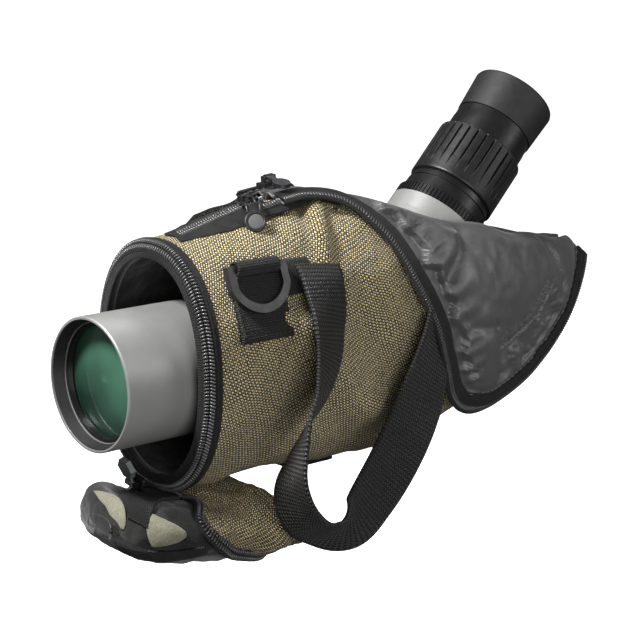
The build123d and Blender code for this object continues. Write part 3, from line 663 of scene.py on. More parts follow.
# ------------------------------------------------------------------ case shell and lining
def slot_width(station):
    return np.where(station < SLOT[0, 0], 0.0, np.maximum(hermite(SLOT, station)[..., 0], 0.0))


def open_grid(stations, columns, grow, margin=0.0):
    """The envelope as a grid that stops at the opening in its top."""
    width = slot_width(stations) + np.where(stations < SLOT[0, 0], 0.0, margin)
    lean = top_angle(stations, width, grow)
    share = np.linspace(0, 1, columns)
    angle = (math.pi - lean)[:, None] + share[None, :] * (math.pi + 2 * lean)[:, None]
    return case_surface(stations[:, None], angle, grow)


PATCH_SAG = 0.3            # how far the cloth may stand off where something is sewn on it


def case_sag(points):
    """How the cloth stands off its ideal shape: broad sags, and folds behind the top slider."""
    s, y, z = points[..., 0], points[..., 1], points[..., 2]
    sag = 1.9 * field(points, 34.0, 3.1, 3)
    top = smooth_step(z, 20, 60)
    slant = s + 0.7 * np.abs(y)
    folds = 2.2 * lump(slant, 120, 5) - 2.0 * lump(slant, 130, 5) + 1.7 * lump(slant, 140, 6)
    pull = 0.8 * np.sin(s * 0.45 + np.abs(y) * 0.2) * lump(s, 104, 20)
    mouth = smooth_step(s, 40, 58)
    # a long valley below the ring on each side, and a soft fold from it towards the underside
    low = s - 96 + 0.9 * (z - 10)
    valley = -5.2 * lump(low, 0, 13) * window(z, -42, -20, 18, 34)
    valley = valley + 2.6 * lump(low, 32, 12) * window(z, -45, -25, 10, 30)
    total = mouth * (sag + valley + top * smooth_step(s, 96, 112) * (folds + pull))
    # flat under the sewn patches and under the top zip
    patch = window(s, 40, 46, 100, 108) * smooth_step(z, 3, 11)
    return np.where(total > PATCH_SAG, PATCH_SAG + (total - PATCH_SAG) * (1 - patch), total)


def case_shell():
    stations = np.concatenate([np.linspace(39.0, 100.5, 62), np.linspace(101.6, 311, 150)])
    points = open_grid(stations, 190, 0.0)
    points = points + normals_of(points) * case_sag(points)[..., None]
    piece = sheet_mesh("case_shell", points, KHAKI, thickness=1.5, offset=1.0)
    finish_piece(piece, "scope", "khaki", "case_body")


def lining():
    stations = np.concatenate([np.linspace(36.6, 100.5, 50), np.linspace(101.6, 297, 70)])
    points = open_grid(stations, 150, -3.6, margin=0.4)
    ripple = 0.7 * field(points, 9.0, 7.7, 3) * smooth_step(points[..., 0], 38, 44)
    points = points + normals_of(points) * (ripple + np.minimum(case_sag(points), 0))[..., None]
    piece = sheet_mesh("case_lining_cloth", points, FLEECE, thickness=0.7)
    finish_piece(piece, "scope", "lining", "case_lining")


# ------------------------------------------------------------------ mouth of the case
def mouth_loop(station, grow, count=300):
    angle = np.arange(count) * TAU / count
    path = case_surface(38.5, angle, grow)
    path[:, 0] = station
    middle = np.array([station, 0, 2.75])
    radial = unit((path - middle) * np.array([0, 1.0, 0.74]))
    return path, radial


def mouth():
    path, radial = mouth_loop(39.6, 0.9)
    piping = sweep("mouth_binding_cloth", path, radial, round_profile(3.6, 2.6, 14), TAPE, closed=True)
    finish_piece(piping, "scope", "tape", "mouth_binding")

    forward = np.array([-1.0, 0, 0])
    path, radial = mouth_loop(35.9, -0.6)
    bevel = unit(radial * 0.62 + forward * 0.78)
    tape = sweep("mouth_zipper_cloth", path, bevel, flat_profile(7.4, 0.8), TAPE, closed=True)
    finish_piece(tape, "scope", "tape", "mouth_zipper")
    for name, sideways in (("mouth_coil_outer", 1.5), ("mouth_coil_inner", -1.3)):
        coil = teeth(name, path, bevel, COIL, pitch=1.55, length=2.5, width=0.92, height=1.3,
                     sideways=sideways, lift=0.95, closed=True, lean=0.25 * np.sign(sideways))
        finish_piece(coil, "scope", "coil")
    path, radial = mouth_loop(33.9, -4.2)
    inner = sweep("mouth_grosgrain", path, unit(radial * 0.1 + forward), flat_profile(4.6, 0.7),
                  GROSGRAIN, closed=True)
    finish_piece(inner, "scope", "tape")
    path, radial = mouth_loop(36.0, -5.3)
    roll = sweep("mouth_roll", path, radial, round_profile(4.6, 2.6, 12), FLEECE, closed=True)
    finish_piece(roll, "scope", "lining")


# ------------------------------------------------------------------ top zip
# lines of (station, across, above): the tape's far edge, the zip itself and the tape's near edge, then the
# free end of the opened side with its tape, and the webbing that lies behind the zip
TOP_FAR = [(46, 3.5, 60.6), (62, 4.5, 64.4), (75, 5.0, 67.0), (88, 6.0, 69.4), (98, 7.0, 71.2)]
TOP_COIL = [(46, -4.4, 60.8), (56.6, -3.0, 62.8), (65.6, -2.4, 64.9), (75.4, -2.2, 67.2),
            (86, -2.0, 69.5), (97, -1.5, 71.6)]
TOP_NEAR = [(45.0, -10.0, 58.9), (53.6, -11.2, 59.7), (60.7, -13.0, 60.6), (69, -14.6, 61.6),
            (79, -16.0, 63.0), (90, -17.0, 65.4), (99, -17.2, 66.8)]
HEAD_COIL = [(88.5, -12.0, 69.8), (95.5, -12.8, 71.0), (101.9, -12.2, 72.2), (107.9, -11.6, 73.0),
             (117.2, -11.8, 73.4), (123.5, -14.2, 72.6), (129, -18.4, 70.6)]
HEAD_TAPE = [(88.5, -15.6, 66.4), (95.5, -17.0, 67.2), (101.9, -17.4, 68.0), (107.9, -17.2, 68.8),
             (117.2, -16.6, 69.6), (123.5, -17.4, 69.4), (129, -21.0, 67.8)]
FAR_WEB = [[(59.5, 9.0, 61.5), (64.0, 10.0, 64.2), (68.0, 11.0, 66.6)],
           [(76.0, 10.0, 63.5), (76.5, 11.0, 66.2), (77.0, 12.0, 68.0)],
           [(90.0, 10.0, 66.0), (90.0, 11.0, 68.0), (90.0, 12.0, 69.4)],
           [(98.0, 10.0, 69.0), (98.5, 11.0, 71.4), (99.0, 12.0, 73.0)],
           [(108.0, 10.0, 71.5), (108.5, 10.5, 74.0), (108.0, 11.0, 76.2)]]


def ruled(lines, along, across):
    """A grid between lines of keys, smooth along them and straight from one to the next."""
    curves = np.stack([curve_through(keys, along) for keys in lines], 1)
    share = np.linspace(0, len(lines) - 1, across)
    low = np.minimum(share.astype(int), len(lines) - 2)
    rest = (share - low)[None, :, None]
    return curves[:, low] * (1 - rest) + curves[:, low + 1] * rest


def top_zip():
    tape = ruled([TOP_FAR, TOP_COIL, TOP_NEAR], 70, 25)
    tape[..., 2] += 0.2 * np.sin(tape[..., 0] * 0.7)
    piece = sheet_mesh("top_zip_tape", tape, TAPE, thickness=0.8, flip=True)
    finish_piece(piece, "scope", "tape", "top_zipper_tape")
    path = curve_through(TOP_COIL, 120)[4:]
    up = np.tile(unit(np.array([-0.3, -0.45, 0.84])), (len(path), 1))
    for side in (-1, 1):
        row = teeth(f"top_coil_{'near' if side < 0 else 'far'}", path, up, COIL, pitch=1.45, length=2.6,
                    width=0.85, height=1.3, sideways=1.0 * side, lift=0.9, lean=0.3 * side)
        finish_piece(row, "scope", "coil", *(["top_zipper_coil"] if side < 0 else []))
    tape = ruled([[(s, y + 3.0, z + 0.4) for s, y, z in HEAD_COIL], HEAD_COIL, HEAD_TAPE], 70, 19)
    piece = sheet_mesh("near_zip_head", tape, TAPE, thickness=0.8, flip=True)
    finish_piece(piece, "scope", "tape")
    path = curve_through(HEAD_COIL, 120)
    up = np.tile(unit(np.array([-0.2, -0.6, 0.75])), (len(path), 1))
    row = teeth("near_head_coil", path, up, COIL, pitch=1.5, length=3.0, width=0.85, height=1.4, sideways=0.4,
                lift=0.9, lean=0.2)
    finish_piece(row, "scope", "coil")
    lines = [[row[k] for row in FAR_WEB] for k in range(3)]
    webbing = ruled(lines, 40, 13)
    piece = sheet_mesh("far_webbing", webbing, WEBBING, thickness=1.4)
    finish_piece(piece, "scope", "webbing")


# ------------------------------------------------------------------ flaps folded out of the case
FLAP_TILT = 14.0           # how much lower the flap hangs at its edge than the case's own underside
FLAP_SEED = {-1: 0.4, 1: 2.9}
FLAP_ROLL = 0.07           # the share of the flap's width that rolls over the rim of the opening
FLAP_DEEPEST = -2.4        # the satin's deepest fold, just short of the khaki cloth at its back
TAPE_WIDTH = 9.6
# slanting creases: share of the way along the edge, slant, depth and width
CREASES = [(0.20, 0.0022, 1.8, 0.012), (0.29, -0.0016, 2.4, 0.016), (0.38, 0.0020, 1.9, 0.013),
           (0.50, -0.0012, 2.2, 0.018), (0.90, 0.0015, 2.0, 0.016)]


def near_angle(station, above, grow, drop):
    """The angle of the envelope at a height, on the strap's side."""
    _, middle, half = case_section(station, drop)
    ratio = np.clip((above - middle) / (half + grow), -1, 1)
    return math.pi - np.arcsin(np.sign(ratio) * np.abs(ratio) ** (ROUNDNESS / 2))


def jagged(u, seed):
    """Irregular waves along an edge, between about -1 and 1."""
    return (0.5 * np.sin(u * 118 + seed) + 0.3 * np.sin(u * 191 + 2.1 * seed)
            + 0.35 * np.sin(u * 67 + 0.7 * seed))


def flap_relief(far, t, along, seed):
    """How far the satin stands off the flap's smooth form: far mm in from its edge, a share t of the way
    along the edge. Folds, creases and gathers."""
    front = window(t, 0.04, 0.10, 0.50, 0.58)
    # a valley beside the zip tape, with a jagged, gathered lip
    lip = 14.5 + 3.4 * jagged(t, seed)
    relief = -4.4 * front * window(far, 8.0, 9.5, lip, lip + 2.5)
    relief = relief + 2.0 * smooth_step(far, 8.0, 14.0)
    relief = relief + 0.7 * front * np.sin(t * 210 + 3 * np.sin(t * 31 + seed)) * lump(far, 20, 6)
    # long soft swellings and slanting creases that the light catches
    relief = relief + 2.2 * lump(far, 32, 10) * front
    for at_t, slant, depth, wide in CREASES:
        relief = relief - depth * lump(t - slant * (far - 25), at_t, wide) * window(far, 14, 22, 45, 60)
    # an elastic seam that gathers the cloth over a crumpled pocket beside the rear part of the zip
    pocket = window(t, 0.58, 0.64, 0.84, 0.89)
    relief = relief - 3.0 * pocket * lump(far, 31, 1.6) * (1 + 0.6 * np.sin(t * 620 + seed))
    relief = relief + 1.5 * pocket * lump(far, 35, 2.4) * np.sin(t * 400 + seed)
    crumple = field(along, 9.0, 3.0 + seed, 3) - 0.9
    relief = relief + 3.6 * pocket * crumple * window(far, 9, 12, 26, 30)
    return relief


def flap_points(side, rows=190, columns=120, lift=0.0, inset=0.0):
    """A flap's face, or with a lift the smooth face of the cloth at its back."""
    seed = FLAP_SEED[side]
    u = np.linspace(0, 1, rows)[:, None]
    v = (np.linspace(0, 1, columns) * (1 - inset))[None, :]
    start = 101 + 202 * u
    edge = curve_through(FLAP_EDGE, rows)
    begin = math.pi - top_angle(start, slot_width(start), 4.0)
    finish = near_angle(edge[:, :1], edge[:, 1:], 5.6, FLAP_TILT)
    station = start + (edge[:, :1] - start) * v
    angle = begin + (finish - begin) * v
    # the cloth rolls over the rim of the opening and goes inside
    roll = np.clip(1 - v / FLAP_ROLL, 0, 1)
    grow = 4.6 + 1.4 * v + lift - 7.5 * roll ** 2 * (1 - 0.25 * roll)
    points = case_surface(station, angle, grow, FLAP_TILT * v)
    reach = np.minimum(3.2, slot_width(start) * 0.6)
    points[..., 1] += reach * np.sin(np.clip(v / FLAP_ROLL, 0, 1) * math.pi) * 0.8
    rim = case_surface(edge[:, :1], finish, 6.0 + lift, FLAP_TILT)[:, 0]
    away = np.linalg.norm(points[:, :, None] - rim[None, None], axis=-1)
    relief = flap_relief(away.min(-1), away.argmin(-1) / (rows - 1), points, seed)
    relief = relief + 0.9 * field(points, 24.0, 5.3 + seed, 3) + 0.35 * field(points, 9.0, 1.3 + seed, 2)
    relief = np.maximum(relief, FLAP_DEEPEST) * (1.0 if lift == 0 else 0.0)
    relief = relief * smooth_step(v, 0.06, 0.2) * smooth_step(away.min(-1), 1.0, 8.0)
    points = points - normals_of(points) * relief[..., None]
    points[..., 1] *= -side
    return points


def flap(name, side):
    """A flap's satin face with khaki cloth at its back; gives the face's points."""
    points = flap_points(side)
    satin = sheet_mesh(f"{name}_satin", points, SATIN, thickness=0.6, flip=side > 0)
    finish_piece(satin, "scope", "satin", name)
    back = flap_points(side, rows=120, columns=60, lift=-3.2, inset=0.01)
    khaki = sheet_mesh(f"{name}_khaki", back, KHAKI, thickness=0.8, flip=side > 0)
    finish_piece(khaki, "scope", "khaki")
    return points


def flap_edging(name, side, points):
    """Zip tape with its seam and its row of teeth along the outer edge."""
    edge = points[:, -1]
    along = tangents(edge)
    inward = square_to(points[:, -12] - edge, along)
    normal = unit(np.cross(along, inward)) * (1.0 if side < 0 else -1.0)
    if (normal[:, 1] * side).mean() < 0:
        normal = -normal
    fine = curve_through(np.hstack([edge, inward, normal]), 420)
    edge, inward, normal = fine[:, :3], unit(fine[:, 3:6]), unit(fine[:, 6:])
    share = np.linspace(0, 1, 15)
    across = edge[:, None] + inward[:, None] * (share * TAPE_WIDTH - 1.6)[None, :, None]
    height = 1.3 - 0.9 * (2 * share - 1) ** 4 + 0.25 * np.sin(share * 7)
    tape = sheet_mesh(f"{name}_tape", across + normal[:, None] * height[None, :, None], TAPE, thickness=1.0,
                      flip=side > 0)
    finish_piece(tape, "scope", "tape", f"{name}_zipper")
    row = teeth(f"{name}_teeth", edge + inward * 0.6 + normal * 1.0, normal, COIL, pitch=1.5,
                length=2.8, width=0.92, height=1.5, lift=0.9, lean=0.2)
    finish_piece(row, "scope", "coil")
    seam = edge + inward * (TAPE_WIDTH - 2.2)
    wave = 0.35 * np.sin(np.arange(len(seam)) * 1.1)[:, None]
    cord = sweep(f"{name}_seam", seam + inward * wave, normal, round_profile(1.7, 1.9, 8), SATIN)
    finish_piece(cord, "scope", "satin")


# ------------------------------------------------------------------ carrying strap
STRAP_WIDTH, STRAP_THICK = 26.0, 1.7
# station, across and above of the middle line, and the direction of the webbing's width
STRAP = np.array([
    (101.0, -36.6, 45.4, 0.99, 0.06, -0.06), (100.6, -39.6, 42.6, 0.99, 0.08, -0.08),
    (100.0, -42.6, 37.0, 0.99, 0.13, -0.09), (99.5, -45.4, 29.5, 0.98, 0.20, -0.11),
    (97.8, -48.5, 20.9, 0.93, 0.32, -0.19), (96.1, -51.0, 9.6, 0.89, 0.40, -0.21),
    (92.0, -53.0, -0.6, 0.86, 0.48, -0.17), (85.6, -55.0, -11.1, 0.79, 0.60, -0.10),
    (79.0, -56.5, -18.6, 0.67, 0.71, -0.20), (75.0, -57.5, -25.2, 0.55, 0.81, -0.20),
    (70.7, -58.0, -33.9, 0.41, 0.90, -0.15), (67.0, -58.3, -43.4, 0.20, 0.97, -0.13),
    (67.0, -58.5, -52.4, 0.0, 0.99, -0.10), (71.4, -58.5, -62.7, -0.10, 0.95, -0.27),
    (77.5, -58.5, -69.3, 0.05, 0.88, -0.48), (85.0, -58.5, -72.2, 0.36, 0.74, -0.58),
    (93.5, -58.5, -73.6, 0.62, 0.45, -0.62), (102.2, -58.5, -72.2, 0.80, 0.14, -0.60),
    (115.6, -57.5, -62.2, 0.74, -0.13, -0.65), (131.6, -56.0, -46.6, 0.80, -0.25, -0.55),
    (145.6, -54.0, -29.3, 0.81, -0.21, -0.55),
    (155.0, -52.5, -14.5, 0.85, 0.0, -0.52), (163.0, -48.8, -3.0, 0.83, 0.20, -0.50),
    (167.5, -46.0, 5.0, 0.80, 0.30, -0.50), (171.0, -44.2, 13.0, 0.80, 0.36, -0.48)])
STRAP_SPLIT = 0.5


def strap_ribbon():
    """The strap's middle line, the direction across it and its outer face, evenly spaced."""
    line = curve_through(STRAP, 420)
    for _ in range(40):
        line[1:-1] = (line[:-2] + 2 * line[1:-1] + line[2:]) / 4
    path, width = line[:, :3], line[:, 3:]
    ahead = tangents(path)
    width = square_to(width, ahead)
    return path, width, unit(np.cross(ahead, width))


def strap():
    path, width, face = strap_ribbon()
    share = np.linspace(-1, 1, 15)
    half = STRAP_WIDTH / 2 * share
    ahead_run = np.linspace(0, 1, len(path))
    twist = 0.25 * np.sin(ahead_run * 21)[:, None] * share[None, :]
    crown = 0.5 * np.cos(share * math.pi / 2)[None, :] + twist
    points = path[:, None] + width[:, None] * half[None, :, None] + face[:, None] * crown[..., None]
    cut = int(len(path) * STRAP_SPLIT)
    run = run_along(path)
    for name, rows, nodes in (("strap_front", slice(0, cut + 1), ["strap_front_end", "carry_strap"]),
                              ("strap_rear", slice(cut, None), ["strap_rear_end"])):
        piece = sheet_mesh(name, points[rows], WEBBING, thickness=STRAP_THICK, offset=0.0)
        layer = piece.data.attributes["cloth"]
        cloth = np.stack(np.broadcast_arrays(run[rows][:, None], half[None, :], 0.0), -1)
        layer.data.foreach_set("vector", cloth.astype(np.float32).ravel())
        apply_modifiers(piece)
        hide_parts(*nodes)
        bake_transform(piece)


def apply_modifiers(piece):
    """Applies a piece's modifiers, keeping its mesh."""
    bpy.context.view_layer.update()
    depsgraph = bpy.context.evaluated_depsgraph_get()
    made = bpy.data.meshes.new_from_object(piece.evaluated_get(depsgraph), depsgraph=depsgraph)
    piece.modifiers.clear()
    piece.data = made


# ------------------------------------------------------------------ D-rings and their patches
# the patch's upper and lower end as (across, above), its station and how far it stands off them
PATCH_TOP, PATCH_FOOT, PATCH_STATION, PATCH_STAND = (-30.0, 47.0), (-40.6, 17.2), 65.2, 3.3
BAR_UP, BAR_OUT = 15.6, 3.7    # the D-ring's bar, up and out from the patch's middle


def patch_frame(side):
    """Origin, back, up and outward directions of the D-ring's patch."""
    rise = np.array([0, PATCH_TOP[0] - PATCH_FOOT[0], PATCH_TOP[1] - PATCH_FOOT[1]])
    up = unit(rise)
    out = np.array([0, -up[2], up[1]])
    middle = np.array([PATCH_STATION, (PATCH_TOP[0] + PATCH_FOOT[0]) / 2, (PATCH_TOP[1] + PATCH_FOOT[1]) / 2])
    origin = middle + out * PATCH_STAND
    flip = np.array([1.0, -side, 1.0])
    return origin * flip, np.array([1.0, 0, 0]), up * flip, out * flip


def patch_sheet(name, side, rows, half, material, thickness, edge=0.0):
    """Webbing on the patch, from (up, out) rows, half a width to each side."""
    origin, back, up, out = patch_frame(side)
    rows = np.asarray(rows, float)
    share = np.linspace(-1, 1, 21)
    wave = edge * np.sin(np.arange(len(rows)) * 1.7)[:, None] * share[None, :] ** 3
    points = (origin + back * (share[None, :, None] * half + wave[..., None]) + up * rows[:, None, :1]
              + out * rows[:, None, 1:2])
    piece = sheet_mesh(name, points, material, thickness=thickness, flip=side > 0, offset=0.0)
    return finish_piece(piece, "scope", "webbing")


# two rows of stitches across the patch's foot and one down each side: back and up of both ends
STITCH_LINES = [(-12.6, -15.2, 12.6, -15.2), (-12.6, -11.6, 12.6, -11.6),
                (-12.8, -15.2, -12.8, 9), (12.8, -15.2, 12.8, 9)]


def d_ring_patch(name, side):
    """The sewn patch, the loop that holds the D-ring's bar, and the stitches."""
    path = curve_through([(-17.2, 0.9), (-15, 1.5), (-6, 1.9), (2, 2.1), (9, 2.3), (12, 2.2)], 40)
    plate = patch_sheet(f"{name}_plate", side, path, 14.3, WEBBING_PATCH, 1.5, edge=0.25)
    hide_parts(f"d_ring_patch_{name[6:]}")
    turn = np.radians(np.linspace(-150, 168, 40))
    loop = np.stack([BAR_UP + 3.15 * np.sin(turn + 0.5), BAR_OUT + 3.15 * np.cos(turn + 0.5)], -1)
    patch_sheet(f"{name}_loop", side, loop, 11.9, GROSGRAIN, 0.9)
    origin, back, up, out = patch_frame(side)
    for k, (x0, y0, x1, y1) in enumerate(STITCH_LINES):
        line = np.linspace(0, 1, 30)[:, None]
        flat = np.array([[x0, y0]]) * (1 - line) + np.array([[x1, y1]]) * line
        path = origin + back * flat[:, :1] + up * flat[:, 1:] + out * 2.55
        thread = teeth(f"{name}_stitch_{k}", path, np.tile(out, (30, 1)), THREAD, pitch=2.4, length=0.5,
                       width=1.7, height=0.45)
        finish_piece(thread, "scope", "webbing")


def strap_anchor():
    """The webbing that runs back from the patch under the sewn end of the strap."""
    stations = np.linspace(78.5, 97, 20)
    above = np.linspace(49.5, 34.5, 12)
    points = np.stack([side_point(s, above, 2.6 + 0.25 * math.sin(s)) for s in stations])
    piece = sheet_mesh("strap_anchor", points, WEBBING_PATCH, thickness=1.6)
    finish_piece(piece, "scope", "webbing")


# ------------------------------------------------------------------ zip pulls
BAIL_STEPS = 70


def zip_pull(name, body, node, pin, centre, facing, disc=4.1):
    """A wire bail from the slider's pin to a round tab with a grained face in a raised rim."""
    pin, centre, facing = (np.array(v, float) for v in (pin, centre, facing))
    facing = unit(facing)
    run = centre - pin
    up = unit(run - facing * (run @ facing))
    side = np.cross(up, facing)
    outline = [(-1.1, disc - 1.0), (-1.1, disc + 0.9), (1.15, disc + 0.9), (1.15, disc - 0.35),
               (0.55, disc - 0.6), (-1.1, disc - 1.0)]
    rim = lathe(f"{name}_rim", rounded(outline, 0.45, 4), BUCKLE, centre, facing, segments=72, up=up)
    finish_piece(rim, body, "pull_metal", node)
    face = lathe(f"{name}_face", [(0.75, 0.02), (0.72, disc * 0.4), (0.62, disc * 0.75), (0.5, disc - 0.4)],
                 PULL_FACE, centre, facing, segments=72, up=up)
    finish_piece(face, body, "pull_metal")
    back = lathe(f"{name}_back", [(-1.0, 0.02), (-1.0, disc - 0.8)], BUCKLE, centre, facing,
                 segments=48, up=up)
    finish_piece(back, body, "pull_metal")
    near = centre - up * (disc + 0.2)
    turns = [near + side * 2.9, near - up * 2.4 + side * 3.0, pin + side * 2.7 + up * 1.4 + facing * 0.6,
             pin + side * 1.9 - up * 1.0 + facing * 0.4, pin - up * 1.7 + facing * 0.4,
             pin - side * 1.9 - up * 1.0 + facing * 0.4, pin - side * 2.7 + up * 1.4 + facing * 0.6,
             near - up * 2.4 - side * 3.0, near - side * 2.9]
    path = curve_through(turns, BAIL_STEPS)
    wire = sweep(f"{name}_bail", path, np.tile(facing, (BAIL_STEPS, 1)), round_profile(1.5, 1.5, 10), BUCKLE)
    finish_piece(wire, body, "pull_metal")


# ------------------------------------------------------------------ eyepiece
def on_eye(z):
    """A point of the eyepiece's axis, z mm from where it leaves the optical axis."""
    return np.array([CROSSING, 0, 0]) + EYE_DIR * z


def zoom_ring():
    """Rubber ring with thirty long flutes that run out towards its lower edge."""
    count, low, high = 30, 86.15, 115.9
    stations = np.concatenate([np.linspace(low + 0.7, low + 7, 8), np.linspace(low + 7.6, high - 0.9, 34)])
    outer = [(low, 21.6), (low + 0.15, 22.3), (low + 0.45, 22.75)] + [(z, 22.95) for z in stations]
    outer += [(high - 0.45, 22.8), (high - 0.12, 22.35), (high, 21.7), (high, 20.6), (low, 20.6), (low, 21.6)]

    def flutes(angle, z, radius):
        phase = (angle * count / TAU) % 1.0
        offset = np.abs(phase - 0.5) * 2          # 1 on the groove's middle line
        taper = smooth_step(z, low + 3.0, low + 17.0) * (1 - smooth_step(z, high - 1.6, high - 0.9))
        cut = smooth_step(offset, 0.80 - 0.08 * taper, 0.97)
        return radius - np.where(radius > 22.5, 1.25 * cut * taper, 0.0)

    ring = lathe("zoom_ring_rubber", outer, RUBBER_RING, on_eye(0), EYE_DIR, segments=1200, shape=flutes)
    finish_piece(ring, "zoom_ring", "rubber", "zoom_ring")


def scale_marks(name, body, z, radius, texts, height, start, step):
    """Numerals and ticks printed round a ring of the eyepiece."""
    for k, text in enumerate(texts):
        angle = math.radians(start + k * step)
        data = bpy.data.curves.new(f"{name}_{k}", "FONT")
        data.body, data.size, data.extrude, data.align_x = text, height * MM, 0.00003, "CENTER"
        data.offset = 0.00006
        letters = bpy.data.objects.new(f"{name}_{k}", data)
        bpy.context.scene.collection.objects.link(letters)
        bpy.context.view_layer.update()
        mesh = bpy.data.meshes.new_from_object(letters.evaluated_get(bpy.context.evaluated_depsgraph_get()))
        bpy.data.objects.remove(letters)
        other = np.cross(EYE_DIR, EYE_UP)
        for vertex in mesh.vertices:
            x, y, h = vertex.co.x / MM, vertex.co.y / MM, vertex.co.z / MM
            turn = angle + x / radius
            spot = on_eye(z + y) + (EYE_UP * math.cos(turn) + other * math.sin(turn)) * (radius + 0.03 + h)
            vertex.co = Vector(place(spot))
        mesh.materials.clear()
        mesh.materials.append(MARKING)
        made = bpy.data.objects.new(f"{name}_{k}", mesh)
        bpy.context.scene.collection.objects.link(made)
        finish_piece(made, body, "black_anodised")


# ------------------------------------------------------------------ front cap, hanging open
LID = np.array([(3, 9, -70, -60), (6, 17, -74, -56.5), (12, 26, -79, -53.5), (20, 33, -83.5, -53.6),
                (30, 38, -86.5, -57.0), (41, 41, -88.5, -59.8), (62, 42, -89.6, -57.5),
                (76, 41, -88.0, -58.5), (85, 34, -83, -61.0), (90, 21, -77, -64.5)], float)
LID_ROUNDNESS = 2.3
# where the lid's zip runs: angle round the lid and station, from the far side over the top and down the near
LID_RIM = np.array([(0, 50), (45, 47), (98, 44.2), (120, 33), (141, 26.5), (172, 25.5), (190, 28.7),
                    (210, 35), (222, 45), (234, 60), (255, 72), (300, 70), (330, 58), (360, 50)], float)
LID_PUFF = np.array([(3, 1), (10, 5.5), (24, 5.5), (33, 2.5), (60, 2.5), (70, 5), (90, 5)], float)


def lid_point(station, angle, grow=0.0):
    """Points of the folded lid; angle 90 degrees is its top and 180 the strap's side."""
    station, angle = np.broadcast_arrays(np.asarray(station, float), np.asarray(angle, float))
    size = hermite(LID, station)
    middle, half = (size[..., 1] + size[..., 2]) / 2, (size[..., 2] - size[..., 1]) / 2
    across = squarish(np.cos(angle), LID_ROUNDNESS) * (size[..., 0] + grow)
    above = middle + squarish(np.sin(angle), LID_ROUNDNESS) * (half + grow)
    top = np.clip(np.sin(angle), 0, 1)
    above = above + hermite(LID_PUFF, station)[..., 0] * smooth_step(across, 2, 26) * top
    # the near side is pushed back, so that the rim runs at a slant
    back = np.clip(-across - 6, 0, 40) * 0.75 * window(station, 8, 43, 60, 88)
    # folds: a crease over the nose, and a saddle across the cloth behind the rim
    above = above - 3.2 * top * lump(station, 66, 7) * smooth_step(-across, -8, 20)
    # room for the mouth slider's tab
    above = above - 6.0 * top * lump(station, 26, 9) * lump(across, 11.5, 9)
    return np.stack([station + back, across, above], -1)


def lid_sheet(name, share, low, high, material, thickness, amount, seed, node):
    """Cloth round the lid from station low to high, None being the zip; creased by amount."""
    angle = np.linspace(0, TAU, 161)[:-1]
    rim = hermite(LID_RIM, np.degrees(angle))[:, 0]
    first = rim if low is None else np.full_like(rim, low)
    last = rim if high is None else np.full_like(rim, high)
    share = np.asarray(share)[:, None]
    points = lid_point(first + (last - first) * share, angle[None, :])
    normal = normals_of(points)
    crease = amount * field(points, 17.0, seed, 3) + 0.5 * amount * field(points, 7.0, seed + 4, 2)
    points = points - normal * crease[..., None]
    piece = sheet_mesh(name, points, material, thickness=thickness, around=True)
    finish_piece(piece, "front_cap", "khaki" if material is KHAKI else "lining", node)
    return points


def lid_patch(name, left, right, grow, material, thickness, rows=24, columns=14, puff=0.0, seed=1.0):
    """Cloth sewn on the lid between two lines of (station, angle), bulging by puff."""
    turn = math.pi / 180
    a = curve_through([(s, t, 0) for s, t in left], rows)
    b = curve_through([(s, t, 0) for s, t in right], rows)
    share = np.linspace(0, 1, columns)[None, :, None]
    flat = a[:, None] * (1 - share) + b[:, None] * share
    points = lid_point(flat[..., 0], flat[..., 1] * turn, grow)
    bulge = puff * np.sin(share[..., 0] * math.pi) * np.sin(np.linspace(0, math.pi, rows))[:, None]
    points = points + (lid_point(flat[..., 0], flat[..., 1] * turn, grow + 1) - points) * bulge[..., None]
    points = points + 0.35 * field(points, 6.0, seed, 2)[..., None] * np.array([0.3, 0.2, 0.5])
    piece = sheet_mesh(name, points, material, thickness=thickness, offset=0.0)
    return finish_piece(piece, "front_cap", "lining")


